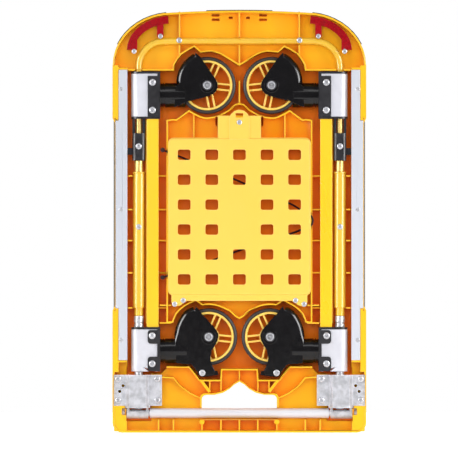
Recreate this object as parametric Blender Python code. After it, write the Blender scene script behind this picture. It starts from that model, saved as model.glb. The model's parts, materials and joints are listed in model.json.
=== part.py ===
"""Folding platform trolley, folded flat and standing on its handle end.

The underside faces -Y, +Z runs up the deck's length and +X to the right.
Sizes are in millimetres; every mesh is scaled to metres when it is made.
A depth is measured from the underside rim of the deck towards its top face.
"""
import math

import bmesh
import bpy
from mathutils import Vector

MM = 0.001
GAP = 0.3                      # between pieces that touch

# Deck
DECK_WIDTH = 445.0
DECK_LENGTH = 740.0
SKIN = 4.0                     # top face of the deck
RIM = 3.6                      # outer wall
RIDGE = 3.0                    # wall round a wheel pocket
RIB = 2.6
MID_FLOOR = 26.0               # depth of the ribbed areas
TRAY_FLOOR = 30.0              # depth behind the cover
END_RADIUS = 17.0
CORNER_ACROSS = 105.0          # half axes of the large rounded corners
CORNER_ALONG = 93.5
CROWN = 3.5
WAIST = 4.0                    # the deck narrows between the wheel arches
WAIST_LOW = 222.0
WAIST_HIGH_FROM_TOP = 197.0

# Wheels and casters
WHEEL_RADIUS = 50.0
WHEEL_WIDTH = 26.0
TYRE_THICKNESS = 5.7
RIM_RING = 4.0
HUB_RADIUS = 18.5
SPOKE = 3.5
SPOKE_PAIRS = 5
SPOKE_SPREAD = 5.0
AXLE_RADIUS = 4.0
WHEEL_PLAY = 1.7               # wheel to cheek
CHEEK = 5.3
NECK_RADIUS = 21.5
STEM_RADIUS = 6.0
STEM_LENGTH = 12.0
FRONT_WHEEL_GAP = 6.3          # tyre to the centre line
REAR_WHEEL_GAP = 3.7
FRONT_TRAIL = 17.2
REAR_TRAIL = 24.4
FRONT_NECK_FROM_TOP = 148.3
REAR_NECK_HEIGHT = 143.3
SWIVEL_ROOM = 8.0              # behind the caster, for its swivel

# Swing axis of the legs
AXIS_INSET = 45.9
AXIS_DEPTH = 14.0
ROD_RADIUS = 5.0
PIVOT_TUBE_RADIUS = 10.0
BLOCK_DEPTH = 26.0
BLOCK_REACH = 32.6             # from the swing axis to the block's end
BLOCK_BACK = 13.2
FRONT_BLOCK_HEIGHT = 75.4
REAR_BLOCK_HEIGHT = 75.0
BRACKET = 3.4
BRACKET_END = 4.7
CLAMP_HALF = 11.2
CLAMP_BODY = 48.0
CLAMP_BELOW = 114.7            # its lower end, below the front caster's neck
THREAD_RADIUS = 7.3
THREAD_LENGTH = 19.1
BAR_WIDTH = 20.9
BAR_THICKNESS = 6.0

# Handle and its hinge
SHAFT_HEIGHT = 33.7
SHAFT_RADIUS = 8.75
SPINDLE_RADIUS = 5.8
HANDLE_RADIUS = 10.0
HANDLE_WALL = 1.6
HANDLE_THROW = 46.0            # from the shaft's axis to the handle's
HANDLE_TOP_FROM_TOP = 40.0
HANDLE_BEND = 90.0
HANDLE_INSET = 11.0            # tube axis to the deck's side
GRIP_RADIUS = 13.0
GRIP_LENGTH = 210.0
ARM_THICKNESS = 10.0
ARM_HUB = 8.8
SOCKET_TOP = 12.0              # end of the arm's socket above the shaft's axis
SPIGOT = 20.0                  # the socket's tongue inside the handle tube
GEAR_RADIUS = 7.6
GEAR_TEETH = 10

# Frame tube, rails, cover
FRAME_RADIUS = 6.0
FRAME_WALL = 1.4
FRAME_FROM_TOP = 53.3
FRAME_BEND = 44.0
RAIL_WIDTH = 20.6
RAIL_LOW = 127.0
RAIL_FROM_TOP = 104.0
RAIL_INSET = 5.4
RAIL_STEP = 5.4                # the deck's cheeks cover this much of its ends
RAIL_OVERHANG = 4.0            # of the rail's full width past the deck's waist
RAIL_DEPTH = 9.0
RAIL_WALL = 2.0
COVER_LOW = 240.0
COVER_FROM_TOP = 223.0
COVER_GAP_TO_CHANNEL = 2.6
COVER_RADIUS = 10.0
COVER_THICKNESS = 4.5
HOLE_WIDE = 22.4
HOLE_HIGH = 18.4
HOLE_PITCH_ACROSS = 48.4
HOLE_PITCH_ALONG = 43.7
CORD_RADIUS = 1.7
LATCH_HALF = 17.5
MAT_THICKNESS = 2.7

# Sides of round pieces
FINE = 32
ROUND = 18
SMALL = 12

# Worked out from the sizes above
HALF = DECK_WIDTH / 2
AXIS_X = HALF - AXIS_INSET
HOOD_HALF = WHEEL_WIDTH / 2 + WHEEL_PLAY + CHEEK
FLOOR = AXIS_DEPTH + HOOD_HALF + SWIVEL_ROOM
DECK_DEPTH = FLOOR + SKIN
HANDLE_X = HALF - HANDLE_INSET
HANDLE_DEPTH = AXIS_DEPTH + HANDLE_THROW
NEAR = AXIS_DEPTH - NECK_RADIUS
FAR = HANDLE_DEPTH + GRIP_RADIUS
MIDDLE = (NEAR + FAR) / 2
FRONT_NECK_Z = DECK_LENGTH - FRONT_NECK_FROM_TOP
REAR_NECK_Z = REAR_NECK_HEIGHT
CHANNEL_OUT = HALF - RAIL_INSET - RAIL_WIDTH + GAP
CHANNEL_IN = AXIS_X - 48.6
CHANNEL_TOP = FRONT_NECK_Z + FRONT_BLOCK_HEIGHT / 2 + 5.1
BRACKET_OUT = AXIS_X - BLOCK_REACH - GAP - BRACKET_END
WAIST_HIGH = DECK_LENGTH - WAIST_HIGH_FROM_TOP
RAIL_HIGH = DECK_LENGTH - RAIL_FROM_TOP
COVER_HIGH = DECK_LENGTH - COVER_FROM_TOP
COVER_HALF = CHANNEL_IN - COVER_GAP_TO_CHANNEL
HOOD_SCALE = WHEEL_RADIUS / 50.0
WALL_IN = HALF - 24.3          # wall between the hinge and the handle arm
WALL_OUT = HALF - 21.3
NOTCH_TOP = SHAFT_HEIGHT + 14.3
NOTCH_DEPTH = AXIS_DEPTH - ARM_HUB - 0.4
SIDES = {"left": -1, "right": 1}


def at(x, depth, z):
    """Return a point of the trolley, in metres, from its millimetres and depth."""
    return Vector((x * MM, (depth - MIDDLE) * MM, z * MM))


# ---------------------------------------------------------------- mesh tools

def mesh_object(name, rings, closed=False, capped=True):
    """Make an object by bridging rings of points, capping or closing its ends."""
    bm = bmesh.new()
    loops = [[bm.verts.new(point) for point in ring] for ring in rings]
    pairs = list(zip(loops, loops[1:]))
    if closed:
        pairs.append((loops[-1], loops[0]))
    for first, second in pairs:
        for i, vert in enumerate(first):
            j = (i + 1) % len(first)
            bm.faces.new((vert, first[j], second[j], second[i]))
    if capped and not closed:
        bm.faces.new(loops[0])
        bm.faces.new(loops[-1])
    bmesh.ops.recalc_face_normals(bm, faces=bm.faces)
    mesh = bpy.data.meshes.new(name)
    bm.to_mesh(mesh)
    bm.free()
    piece = bpy.data.objects.new(name, mesh)
    bpy.context.collection.objects.link(piece)
    return piece


def prism(outline, low, high, along="depth"):
    """Extrude an outline: (x, z) along the depth, (x, depth) along z, (depth, z) along x."""
    place = {"depth": lambda p, t: at(p[0], t, p[1]),
             "z": lambda p, t: at(p[0], p[1], t),
             "x": lambda p, t: at(t, p[0], p[1])}[along]
    return mesh_object("prism", [[place(p, t) for p in outline] for t in (low, high)])


def box(x, depth, z):
    """Make a box from three (low, high) pairs."""
    corners = [(x[0], z[0]), (x[1], z[0]), (x[1], z[1]), (x[0], z[1])]
    return prism(corners, depth[0], depth[1])


def span(side, first, second):
    """Return the low and high x of a stretch given from the centre line towards one side."""
    return sorted((side * first, side * second))


def circle(centre, radius, steps=ROUND):
    """Return the points of a circle in a plane."""
    return arc(centre, radius, radius, 0, 360, steps)[:-1]


def arc(centre, across, along, start, end, steps):
    """Return the points of an elliptical arc between two angles in degrees."""
    angles = [math.radians(start + (end - start) * i / steps) for i in range(steps + 1)]
    return [(centre[0] + across * math.cos(a), centre[1] + along * math.sin(a)) for a in angles]


def disc(centre, radius, low, high, along="depth", steps=ROUND):
    """Make a round bar whose centre is given in the plane across it."""
    return prism(circle(centre, radius, steps), low, high, along)


def rounded(x, z, radius, steps=5):
    """Return a rectangle's outline with round corners."""
    corners = [((x[1] - radius, z[1] - radius), 0), ((x[0] + radius, z[1] - radius), 90),
               ((x[0] + radius, z[0] + radius), 180), ((x[1] - radius, z[0] + radius), 270)]
    points = []
    for centre, start in corners:
        points += arc(centre, radius, radius, start, start + 90, steps)
    return points


def mirrored(points):
    """Return a whole line from its right half, whose first point is on the centre line."""
    return [(-x, z) for x, z in reversed(points[1:])] + points


def strip(points, width, low, high):
    """Make a wall of even width along a line of (x, z) points."""
    left, right = [], []
    for i, point in enumerate(points):
        here = Vector(point)
        before = (here - Vector(points[i - 1])).normalized() if i else None
        after = (Vector(points[i + 1]) - here).normalized() if i < len(points) - 1 else None
        before, after = before or after, after or before
        tangent = (before + after).normalized()
        normal = Vector((-tangent.y, tangent.x))
        reach = width / 2 / max(0.5, normal.dot(Vector((-after.y, after.x))))
        left.append(tuple(here + normal * reach))
        right.append(tuple(here - normal * reach))
    return prism(left + right[::-1], low, high)


def turned(profile, centre, along, steps=ROUND):
    """Turn a closed (radius, position) profile round an axis through the centre."""
    place = {"depth": lambda r, c, s, t: at(centre[0] + r * c, t, centre[1] + r * s),
             "z": lambda r, c, s, t: at(centre[0] + r * c, centre[1] + r * s, t),
             "x": lambda r, c, s, t: at(t, centre[0] + r * c, centre[1] + r * s)}[along]
    rings = []
    for i in range(steps):
        angle = 2 * math.pi * i / steps
        rings.append([place(r, math.cos(angle), math.sin(angle), t) for r, t in profile])
    return mesh_object("turned", rings, closed=True)


def tube_along(points, radius, sides=SMALL, wall=None):
    """Sweep a circle along a line of (x, depth, z) points, hollow if it has a wall."""
    path = [at(*point) for point in points]
    up = Vector((0, 1, 0))
    frames = []
    for i, point in enumerate(path):
        tangent = (path[min(i + 1, len(path) - 1)] - path[max(i - 1, 0)]).normalized()
        side = tangent.cross(up).normalized()
        frames.append((point, side, side.cross(tangent)))

    def rings(reach):
        turns = [2 * math.pi * k / sides for k in range(sides)]
        return [[point + reach * MM * (math.cos(a) * side + math.sin(a) * other) for a in turns]
                for point, side, other in frames]

    if wall:
        return mesh_object("tube", rings(radius) + rings(radius - wall)[::-1], closed=True)
    return mesh_object("tube", rings(radius))


def combine(base, operation, tools):
    """Join tools to a base, or cut them from it, and keep only the result."""
    helpers = bpy.data.collections.new("helpers")
    bpy.context.scene.collection.children.link(helpers)
    for tool in tools:
        helpers.objects.link(tool)
    boolean = base.modifiers.new("boolean", "BOOLEAN")
    boolean.operation = operation
    boolean.operand_type = "COLLECTION"
    boolean.collection = helpers
    boolean.solver = "EXACT"
    graph = bpy.context.evaluated_depsgraph_get()
    mesh = bpy.data.meshes.new_from_object(base.evaluated_get(graph))
    base.modifiers.clear()
    old = base.data
    base.data = mesh
    bpy.data.meshes.remove(old)
    for tool in tools:
        bpy.data.objects.remove(tool)
    bpy.data.collections.remove(helpers)
    return base


def join(base, *tools):
    """Return the union of a base and other solids."""
    return combine(base, "UNION", tools)


def cut(base, *tools):
    """Return a base with other solids cut from it."""
    return combine(base, "DIFFERENCE", tools)


# ------------------------------------------------------- bodies and materials

def finish(name, colour, roughness, metallic=0.0):
    """Make a material from an sRGB colour given as 0 to 255."""
    linear = [((c / 255 + 0.055) / 1.055) ** 2.4 if c > 10 else c / 3294 for c in colour]
    material = bpy.data.materials.new(name)
    material.use_nodes = True
    shader = material.node_tree.nodes["Principled BSDF"]
    shader.inputs["Base Color"].default_value = (*linear, 1)
    shader.inputs["Roughness"].default_value = roughness
    shader.inputs["Metallic"].default_value = metallic
    return material


def make_body(name, pivot, parent=None):
    """Make the empty that carries a moving body, on its joint's axis."""
    empty = bpy.data.objects.new(name, None)
    bpy.context.collection.objects.link(empty)
    empty.location = pivot - (BODY_PIVOT[parent] if parent else Vector((0, 0, 0)))
    if parent:
        empty.parent = bpy.data.objects[parent]
    BODY_PIVOT[name] = pivot
    return empty


BODY_PIVOT = {}


def place(piece, name, body, material, smooth=35):
    """Name a finished solid, give it its material and hang it on its body."""
    pivot = BODY_PIVOT[body]
    for vert in piece.data.vertices:
        vert.co -= pivot
    piece.name = name
    piece.data.name = name
    piece.parent = bpy.data.objects[body]
    piece.data.materials.clear()
    piece.data.materials.append(material)
    piece.data.shade_smooth()
    piece.data.set_sharp_from_angle(angle=math.radians(smooth))
    return piece


# ----------------------------------------------------------------- the deck

def deck_outline(inset=0.0):
    """Return the deck's outline, moved inwards by an inset."""
    half = HALF - inset
    end = END_RADIUS - inset if inset < END_RADIUS else 1.0
    waist = half - WAIST
    top = DECK_LENGTH - inset
    right = [(0, inset)]
    right += arc((HALF - END_RADIUS, END_RADIUS), end, end, -90, 0, 5)
    right += [(half, WAIST_LOW - 2 * WAIST), (waist, WAIST_LOW),
              (waist, WAIST_HIGH), (half, WAIST_HIGH + 2 * WAIST)]
    corner = (HALF - CORNER_ACROSS, DECK_LENGTH - CROWN - CORNER_ALONG)
    right += arc(corner, CORNER_ACROSS - inset, CORNER_ALONG - inset, 0, 90, 10)
    right += [(x, top - CROWN * (x / corner[0]) ** 2) for x in (corner[0] * 2 / 3, corner[0] / 3, 0)]
    left = [(-x, z) for x, z in reversed(right[1:-1])]
    return right + left


def wheel_x(gap):
    """Return how far a wheel's centre is from the centre line."""
    return WHEEL_RADIUS + gap


def from_wheel(offsets, gap, height):
    """Return points given from a right-hand wheel's centre, scaled with the wheel."""
    x = wheel_x(gap)
    return [(x + dx * HOOD_SCALE, height + dz * HOOD_SCALE) for dx, dz in offsets]


def curved(points, steps=2):
    """Return a smooth line through points, with extra points between them."""
    line = []
    for i in range(len(points) - 1):
        before, start = Vector(points[max(i - 1, 0)]), Vector(points[i])
        end, after = Vector(points[i + 1]), Vector(points[min(i + 2, len(points) - 1)])
        for k in range(steps):
            t = k / steps
            bend = (end - before) * t + (2 * before - 5 * start + 4 * end - after) * t ** 2
            line.append(tuple(start + (bend + (3 * start - before - 3 * end + after) * t ** 3) / 2))
    return line + [points[-1]]


FRONT_WHEEL_Z = FRONT_NECK_Z + FRONT_TRAIL * HOOD_SCALE
REAR_WHEEL_Z = REAR_NECK_Z + REAR_TRAIL * HOOD_SCALE


def front_pocket_top():
    """Return the upper edge of the right half of the front wheel pocket."""
    near = curved(from_wheel([(-24, 54), (-8, 59), (12, 57)], FRONT_WHEEL_GAP, FRONT_WHEEL_Z))
    near += curved(from_wheel([(23, 67), (45, 54), (57, 36)], FRONT_WHEEL_GAP, FRONT_WHEEL_Z))
    x0, z0 = near[0]
    edge = near[-1][0] + 1.5
    return [(0, z0 - 20), (x0 / 2, z0 - 10)] + near + [(edge, CHANNEL_TOP), (CHANNEL_OUT + 4, CHANNEL_TOP)]


def front_pocket_bottom():
    """Return the lower edge of the right half of the front wheel pocket."""
    near = curved(from_wheel([(-37, -43), (-20, -52), (-2, -56), (12, -54), (32, -43)],
                             FRONT_WHEEL_GAP, FRONT_WHEEL_Z))
    x0, z0 = near[0]
    return [(0, z0 + 12), (x0 * 0.42, z0 + 10)] + near + [
        (CHANNEL_IN - 17, FRONT_NECK_Z - 42.5), (CHANNEL_IN - 11, FRONT_NECK_Z - 41.5),
        (CHANNEL_IN, FRONT_NECK_Z - 43.5)]


def rear_pocket_top():
    """Return the upper edge of the right half of the rear wheel pocket."""
    near = curved(from_wheel([(-36, 45), (-18, 53), (-2, 56), (11, 55)], REAR_WHEEL_GAP, REAR_WHEEL_Z))
    near += curved(from_wheel([(23, 63), (42, 53), (56, 40), (62, 25)], REAR_WHEEL_GAP, REAR_WHEEL_Z))
    x0, z0 = near[0]
    return [(0, z0 - 14), (x0 * 0.4, z0 - 10)] + near + [(CHANNEL_IN, near[-1][1] - 1)]


def rear_pocket_bottom():
    """Return the lower edge of the right half of the rear wheel pocket."""
    near = from_wheel([(-21, -56), (-20, -75), (16, -75), (22, -66), (34, -51.5)],
                      REAR_WHEEL_GAP, REAR_WHEEL_Z)
    return [(0, near[0][1])] + near + [(CHANNEL_IN, near[-1][1])]


def channel_outline(side):
    """Return the outline of the deep channel that a leg folds into."""
    low = REAR_NECK_Z - REAR_BLOCK_HEIGHT / 2 - 3
    points = [(CHANNEL_OUT, low), (CHANNEL_OUT, CHANNEL_TOP), (CHANNEL_IN, CHANNEL_TOP),
              (CHANNEL_IN, low + 10), (CHANNEL_IN + 10, low)]
    return [(side * x, z) for x, z in points]


def opening_outline(grow=0.0):
    """Return the outline of the carrying opening at the handle end."""
    half, top, low = 66.0 + grow, 66.0 + grow, 25.0 - grow
    right = [(0, 89.0 + grow), (9, 84.0 + grow), (17, 76.5 + grow), (29, 69.6 + grow), (44, top)]
    right += arc((half - 8, top - 8), 8, 8, 90, 0, 3) + [(half, low + 5), (half - 5, low)]
    return right + [(-x, z) for x, z in reversed(right[1:])]


def deck_ribs():
    """Return the ribs that stand on the shallow floor of the deck."""
    tool = []
    base = MID_FLOOR + 1
    for x in (-105.0, 0.0, 105.0):
        tool.append(box((x - RIB / 2, x + RIB / 2), (2, base), (FRONT_WHEEL_Z + 30, DECK_LENGTH - 2)))
    for side in SIDES.values():
        tool.append(box(span(side, CHANNEL_IN - RIDGE, CHANNEL_IN), (0.8, base),
                        (RAIL_LOW - 10, FRONT_NECK_Z - 42)))
        tool.append(box(span(side, 78.5, 78.5 + RIB), (3, base), (COVER_HIGH - 6, FRONT_NECK_Z - 30)))
    for x in (0.0, 32.3, 65.6, 115.7, 141.7):
        for side in SIDES.values() if x else (1,):
            centre = side * x
            tool.append(box((centre - RIB / 2, centre + RIB / 2), (2.4, base), (2, 24)))
    for side in SIDES.values():
        tool.append(disc((side * 65.6, 18.5), 4.8, 2, base, steps=SMALL))
        tool.append(strip([(side * 88, REAR_WHEEL_Z - 50), (side * 52, 71)], 5.2, 0.4, base))
        tool.append(box(span(side, 50.7, 50.7 + RIB), (4, base), (70, REAR_WHEEL_Z - 68)))
        tool.append(box(span(side, 31, 31 + RIB), (5, base), (72, REAR_WHEEL_Z - 50)))
        swept = [(137, 97), (116, 96), (104, 82), (87, 69), (68, 60)]
        tool.append(strip([(side * x, z) for x, z in swept], RIB, 3, base))
        for inset in (78.5, 9.5):
            for z in (93.6, 56.3):
                tool.append(disc((side * (HALF - inset), z), 6.0, 6, base, steps=SMALL))
        tool.append(box(span(side, WALL_IN - 1, HALF - RIM + 1), (1.5, base + 17), (2, NOTCH_TOP + 2)))
    tool.append(box((-RIB / 2, RIB / 2), (5, base), (86, REAR_WHEEL_Z - 50)))
    tool.append(box((-38, 38), (0.6, base), (COVER_HIGH - 2, COVER_HIGH + 39)))
    return tool


def channel_ribs():
    """Return the low ribs that stand in the deep channels, spread between the casters."""
    tool = []
    low, high = REAR_NECK_Z + 75.2, FRONT_NECK_Z - 141.7
    for side in SIDES.values():
        for share in (0.0, 0.2657, 0.51, 0.745, 1.0):
            z = low + (high - low) * share
            thick = (z - RIB / 2, z + RIB / 2)
            tool.append(box(span(side, AXIS_X + 9, CHANNEL_OUT + 1), (4, FLOOR + 1), thick))
            tool.append(box(span(side, AXIS_X - 13, CHANNEL_IN - 1), (12, FLOOR + 1), thick))
        for z in (REAR_NECK_Z + 48.7, REAR_NECK_Z + 79.7):
            thick = (z - RIB / 2, z + RIB / 2)
            tool.append(box(span(side, BRACKET_OUT + 1, CHANNEL_IN - 9), (2, FLOOR + 1), thick))
        x = side * (AXIS_X - 13.2)
        tool.append(box((x - 1.0, x + 1.0), (12, FLOOR + 1), (REAR_NECK_Z + 48, FRONT_NECK_Z - 43)))
    return tool


def build_deck(material):
    """Make the moulded deck with its pockets, ribs, channels and openings."""
    deck = prism(deck_outline(), 0, DECK_DEPTH)
    cut(deck, prism(deck_outline(RIM), -1, MID_FLOOR))
    beds = [box(span(side, CHANNEL_OUT - 0.7, HALF - WAIST - 1), (0, MID_FLOOR + 1),
                (RAIL_LOW - 4, RAIL_HIGH + 4)) for side in SIDES.values()]
    cheeks = [box(span(side, HALF - RAIL_INSET - RAIL_STEP, HALF - 1), (0, MID_FLOOR + 1), z)
              for side in SIDES.values() for z in ((106, WAIST_LOW - 9), (WAIST_HIGH + 9, RAIL_HIGH + 8))]
    ridges = [strip(mirrored(points), 2 * RIDGE, top, MID_FLOOR + 1) for points, top in (
        (front_pocket_top(), 1.0), (front_pocket_bottom(), 1.0),
        (rear_pocket_top(), 0.8), (rear_pocket_bottom(), 1.2))]
    tray = prism(rounded((-COVER_HALF + 1, COVER_HALF - 1), (COVER_LOW + 1, COVER_HIGH - 1), COVER_RADIUS),
                 0, TRAY_FLOOR)
    mouth = prism(opening_outline(RIDGE), 0.5, MID_FLOOR + 1)
    join(deck, tray, mouth, *beds, *cheeks, *ridges, *deck_ribs())
    front = front_pocket_top()[:-1] + [(CHANNEL_IN + 12, CHANNEL_TOP), (CHANNEL_IN + 12, FRONT_NECK_Z)]
    front += [(CHANNEL_IN + 6, FRONT_NECK_Z - 43.5)] + front_pocket_bottom()[::-1]
    rear = rear_pocket_top() + [(CHANNEL_IN + 6, REAR_NECK_Z)] + rear_pocket_bottom()[::-1]
    pockets = [prism(close_half(outline), -1, FLOOR) for outline in (front, rear)]
    channels = [prism(channel_outline(side), -1, FLOOR - 0.01) for side in SIDES.values()]
    cut(deck, *pockets, *channels)
    tongue = box((-RIB / 2, RIB / 2), (3, FLOOR + 1),
                 (front_pocket_bottom()[0][1] - RIDGE / 2, FRONT_WHEEL_Z + 8))
    join(deck, tongue, *channel_ribs())
    cut(deck, *deck_cuts())
    return place(deck, "deck", "deck_body", material, smooth=25)


def close_half(right):
    """Close a right-half outline that starts and ends on the centre line."""
    return right + [(-x, z) for x, z in reversed(right[1:-1])]


def deck_cuts():
    """Return what is cut from the deck for the pieces that it holds."""
    tool = [prism(rounded((-COVER_HALF + 4, COVER_HALF - 4), (COVER_LOW + 4, COVER_HIGH - 4), 7),
                  -1, TRAY_FLOOR - 0.02)]
    tool.append(prism(opening_outline(), -1, DECK_DEPTH + 1))
    tool.append(box((-WALL_IN, WALL_IN), (-1, AXIS_DEPTH + SHAFT_RADIUS + 2.5),
                    (SHAFT_HEIGHT - SHAFT_RADIUS - 2.4, SHAFT_HEIGHT + SHAFT_RADIUS + 2.4)))
    for side in SIDES.values():
        outer = HALF - RAIL_INSET + GAP
        tool.append(box(span(side, CHANNEL_OUT - 2, outer), (-1, RAIL_DEPTH - 0.7),
                        (WAIST_LOW - RAIL_OVERHANG - GAP, WAIST_HIGH + RAIL_OVERHANG + GAP)))
        tool.append(box(span(side, CHANNEL_OUT - 2, outer - RAIL_STEP), (-1, RAIL_DEPTH - 0.7),
                        (RAIL_LOW - GAP, RAIL_HIGH + GAP)))
        tool.append(box(span(side, CHANNEL_OUT + 2.8, outer - RAIL_STEP - 1.3), (RAIL_DEPTH - 3, FLOOR - 2),
                        (RAIL_LOW + 3, RAIL_HIGH - 3)))
        tool.append(box(span(side, AXIS_X - 11, AXIS_X + 11), (-1, AXIS_DEPTH + 10.6),
                        (REAR_NECK_Z + 35, FRONT_NECK_Z - 36)))
        tool.append(box(span(side, HALF - 86.8, HALF - 1.8), (-1, 8.3), (46.7, 101.3)))
        tool.append(box(span(side, AXIS_X - 20, AXIS_X + 24.4), (-1, 8.4), (42, 101)))
        tool.append(box(span(side, AXIS_X - 22, WALL_IN), (-1, TRAY_FLOOR),
                        (SHAFT_HEIGHT - 14, REAR_NECK_Z - 30)))
        tool.append(box(span(side, WALL_OUT, HALF + 2), (NOTCH_DEPTH, DECK_DEPTH + 1), (-1, NOTCH_TOP)))
        tool.append(disc((AXIS_DEPTH, SHAFT_HEIGHT), SPINDLE_RADIUS + 0.6,
                         *span(side, WALL_IN - 2, WALL_OUT + 2), along="x", steps=SMALL))
        tool.append(box(span(side, WALL_IN + 0.6, WALL_OUT + 5), (-1, NOTCH_DEPTH + 1),
                        (SHAFT_HEIGHT - 3, SHAFT_HEIGHT + 9)))
        tool.append(box(span(side, 38.7, 41.7), (1, FLOOR), (COVER_HIGH + 21, COVER_HIGH + 37)))
        for x, half, inset in ((41.7, 6.6, 7.6), (41.7, 6.6, 15.4), (15, 3.2, 12)):
            tool.append(box(span(side, x - half, x + half), (MID_FLOOR - 4, FLOOR),
                            (DECK_LENGTH - inset - 1.9, DECK_LENGTH - inset + 1.9)))
    for side, z, half in ((-1, 491.5, 5.5), (-1, 275.5, 5.5), (1, 371.5, 14.0)):
        tool.append(box(span(side, CHANNEL_IN + 2, COVER_HALF - 6), (-1, 13), (z - half, z + half)))
    for points in frame_routes():
        tool.append(strip(points, 2 * FRAME_RADIUS + 1, -1, AXIS_DEPTH + FRAME_RADIUS + 0.6))
    return tool


def frame_routes():
    """Return the front frame tube's route as one line of (x, z) points."""
    top = DECK_LENGTH - FRAME_FROM_TOP
    low = FRONT_NECK_Z + FRONT_BLOCK_HEIGHT / 2 + GAP + BRACKET + GAP
    right = [(0, top)] + arc((AXIS_X - FRAME_BEND, top - FRAME_BEND), FRAME_BEND, FRAME_BEND, 90, 0, 6)
    return [mirrored(right + [(AXIS_X, low)])]


# -------------------------------------------------------- pieces on the deck

def build_frame_tube(material):
    """Make the U-shaped tube that holds the upper ends of the swing axes."""
    route = [(x, AXIS_DEPTH, z) for x, z in frame_routes()[0]]
    tube = tube_along(route, FRAME_RADIUS, wall=FRAME_WALL)
    return place(tube, "front_frame_tube", "deck_body", material)


def build_rail(name, side, material):
    """Make one side rail, a channel section let into the deck's edge."""
    outer = HALF - RAIL_INSET
    inner = outer - RAIL_WIDTH
    low, high = -1.2, RAIL_DEPTH - 1.2
    web = low + RAIL_WALL
    profile = [(inner, high), (inner, low), (outer, low), (outer, high), (outer - RAIL_WALL, high),
               (outer - RAIL_WALL, web), (inner + RAIL_WALL, web), (inner + RAIL_WALL, high)]
    rail = prism([(side * x, d) for x, d in profile], RAIL_LOW, RAIL_HIGH, "z")
    heights = (RAIL_LOW + 35, (RAIL_LOW + RAIL_HIGH) / 2 + 9.5, RAIL_HIGH - 34)
    middle = side * (inner + outer + 1.6) / 2
    holes = [disc((middle, z), 2.2, low - 1, low + 4, steps=8) for z in heights]
    steps = [box(span(side, outer - RAIL_STEP, outer + 1), (low - 1, high + 1), z) for z in (
        (RAIL_LOW - 1, WAIST_LOW - RAIL_OVERHANG), (WAIST_HIGH + RAIL_OVERHANG, RAIL_HIGH + 1))]
    cut(rail, *holes, *steps)
    return place(rail, "side_rail_" + name, "deck_body", material)


def hole_centres():
    """Return the centres of the holes in the cover, without the two in its middle."""
    top = COVER_HIGH - 30
    rows = [top - HOLE_PITCH_ALONG * i for i in range(int((top - COVER_LOW - 15) / HOLE_PITCH_ALONG) + 1)]
    count = int((COVER_HALF - HOLE_WIDE / 2 - 8) / HOLE_PITCH_ACROSS)
    columns = [HOLE_PITCH_ACROSS * i for i in range(-count, count + 1)]
    plain = {len(rows) // 2 - 1, len(rows) // 2}
    return [(x, z) for x in columns for i, z in enumerate(rows) if x or i not in plain]


def build_cover(material):
    """Make the perforated cover of the storage tray, with its flange and latch."""
    near, far = -COVER_THICKNESS - GAP, -GAP
    outline = rounded((-COVER_HALF, COVER_HALF), (COVER_LOW, COVER_HIGH), COVER_RADIUS)
    rise = rounded((-COVER_HALF + 3, COVER_HALF - 3), (COVER_LOW + 3, COVER_HIGH - 3), COVER_RADIUS - 3)
    layers = ((near, rise), (near + 3, outline), (far, outline))
    cover = mesh_object("cover", [[at(x, depth, z) for x, z in ring] for depth, ring in layers])
    flange = [(-119, COVER_LOW + 4), (-119, COVER_LOW - 12), (-112, COVER_LOW - 19), (-104, COVER_LOW - 17),
              (-92, COVER_LOW - 9), (92, COVER_LOW - 9), (104, COVER_LOW - 17), (112, COVER_LOW - 19),
              (119, COVER_LOW - 12), (119, COVER_LOW + 4)]
    latch = [(LATCH_HALF, COVER_HIGH - 4)]
    latch += arc((0, COVER_HIGH + 33), LATCH_HALF, 16, 0, 180, 6) + [(-LATCH_HALF, COVER_HIGH - 4)]
    join(cover, prism(flange, -2.6, far - 0.02), prism(latch, -4.2, far - 0.04),
         box((-37.6, 37.6), (-2.6, far - 0.06), (COVER_HIGH - 4, COVER_HIGH + 38)))
    wide, high = HOLE_WIDE / 2, HOLE_HIGH / 2
    holes = [prism(rounded((x - wide, x + wide), (z - high, z + high), 2.5, 1), -9, 3)
             for x, z in hole_centres()]
    slot = box((-6.7, 6.7), (-9, 3), (COVER_HIGH + 35, COVER_HIGH + 43))
    cut(cover, slot, *holes)
    return place(cover, "compartment_cover", "deck_body", material)


def cord_route():
    """Return the elastic cord's route behind the cover, from one end to the other."""
    depth = 9.0
    right = CHANNEL_IN - 8.0
    left = -CHANNEL_IN - 6.5
    loop_z = 371.5
    bend = arc((right, loop_z), 9.0, 11.5, 90, -90, 6)
    return [(left, depth, 495.6), (-99, depth, 481.6), (-2.5, depth, 441.5), (94, depth, 399.0)] + \
           [(x, depth, z) for x, z in bend] + \
           [(94, depth, 350.0), (-2.5, depth, 318.5), (-70, depth, 293.0), (left, depth, 272.0)]


def build_cord(material):
    """Make the elastic cord that is stretched across the tray behind the cover."""
    cord = tube_along(cord_route(), CORD_RADIUS, 6)
    ends = (cord_route()[0], cord_route()[-1])
    knots = [disc((p[0], p[2]), 4.2, p[1] - 3.6, p[1] + 3.6, steps=8) for p in ends]
    join(cord, *knots)
    return place(cord, "bungee_cord", "deck_body", material)


def build_reflector(name, side, material):
    """Make one red corner reflector: a curved strip with two screw posts."""
    cx, cz = HALF - 104.5, DECK_LENGTH - 70.0
    outer = arc((cx, cz), 79.5, 61.0, 1, 85, 9)
    inner = arc((cx, cz), 66.5, 47.5, 85, 1, 9)
    strip_piece = prism([(side * x, z) for x, z in outer + inner], 3, 15)
    posts = [box(span(side, cx + a, cx + b), (4, 14.5), (cz + low, cz + high))
             for a, b, low, high in ((15, 26.5, 24, 50), (61, 72, 1.5, 24))]
    return place(join(strip_piece, *posts), "corner_reflector_" + name, "deck_body", material)


def bumper(outline, name, material):
    """Make one rubber bumper strip outside the deck's edge."""
    return place(prism(outline, 20, 38), name, "deck_body", material)


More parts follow.
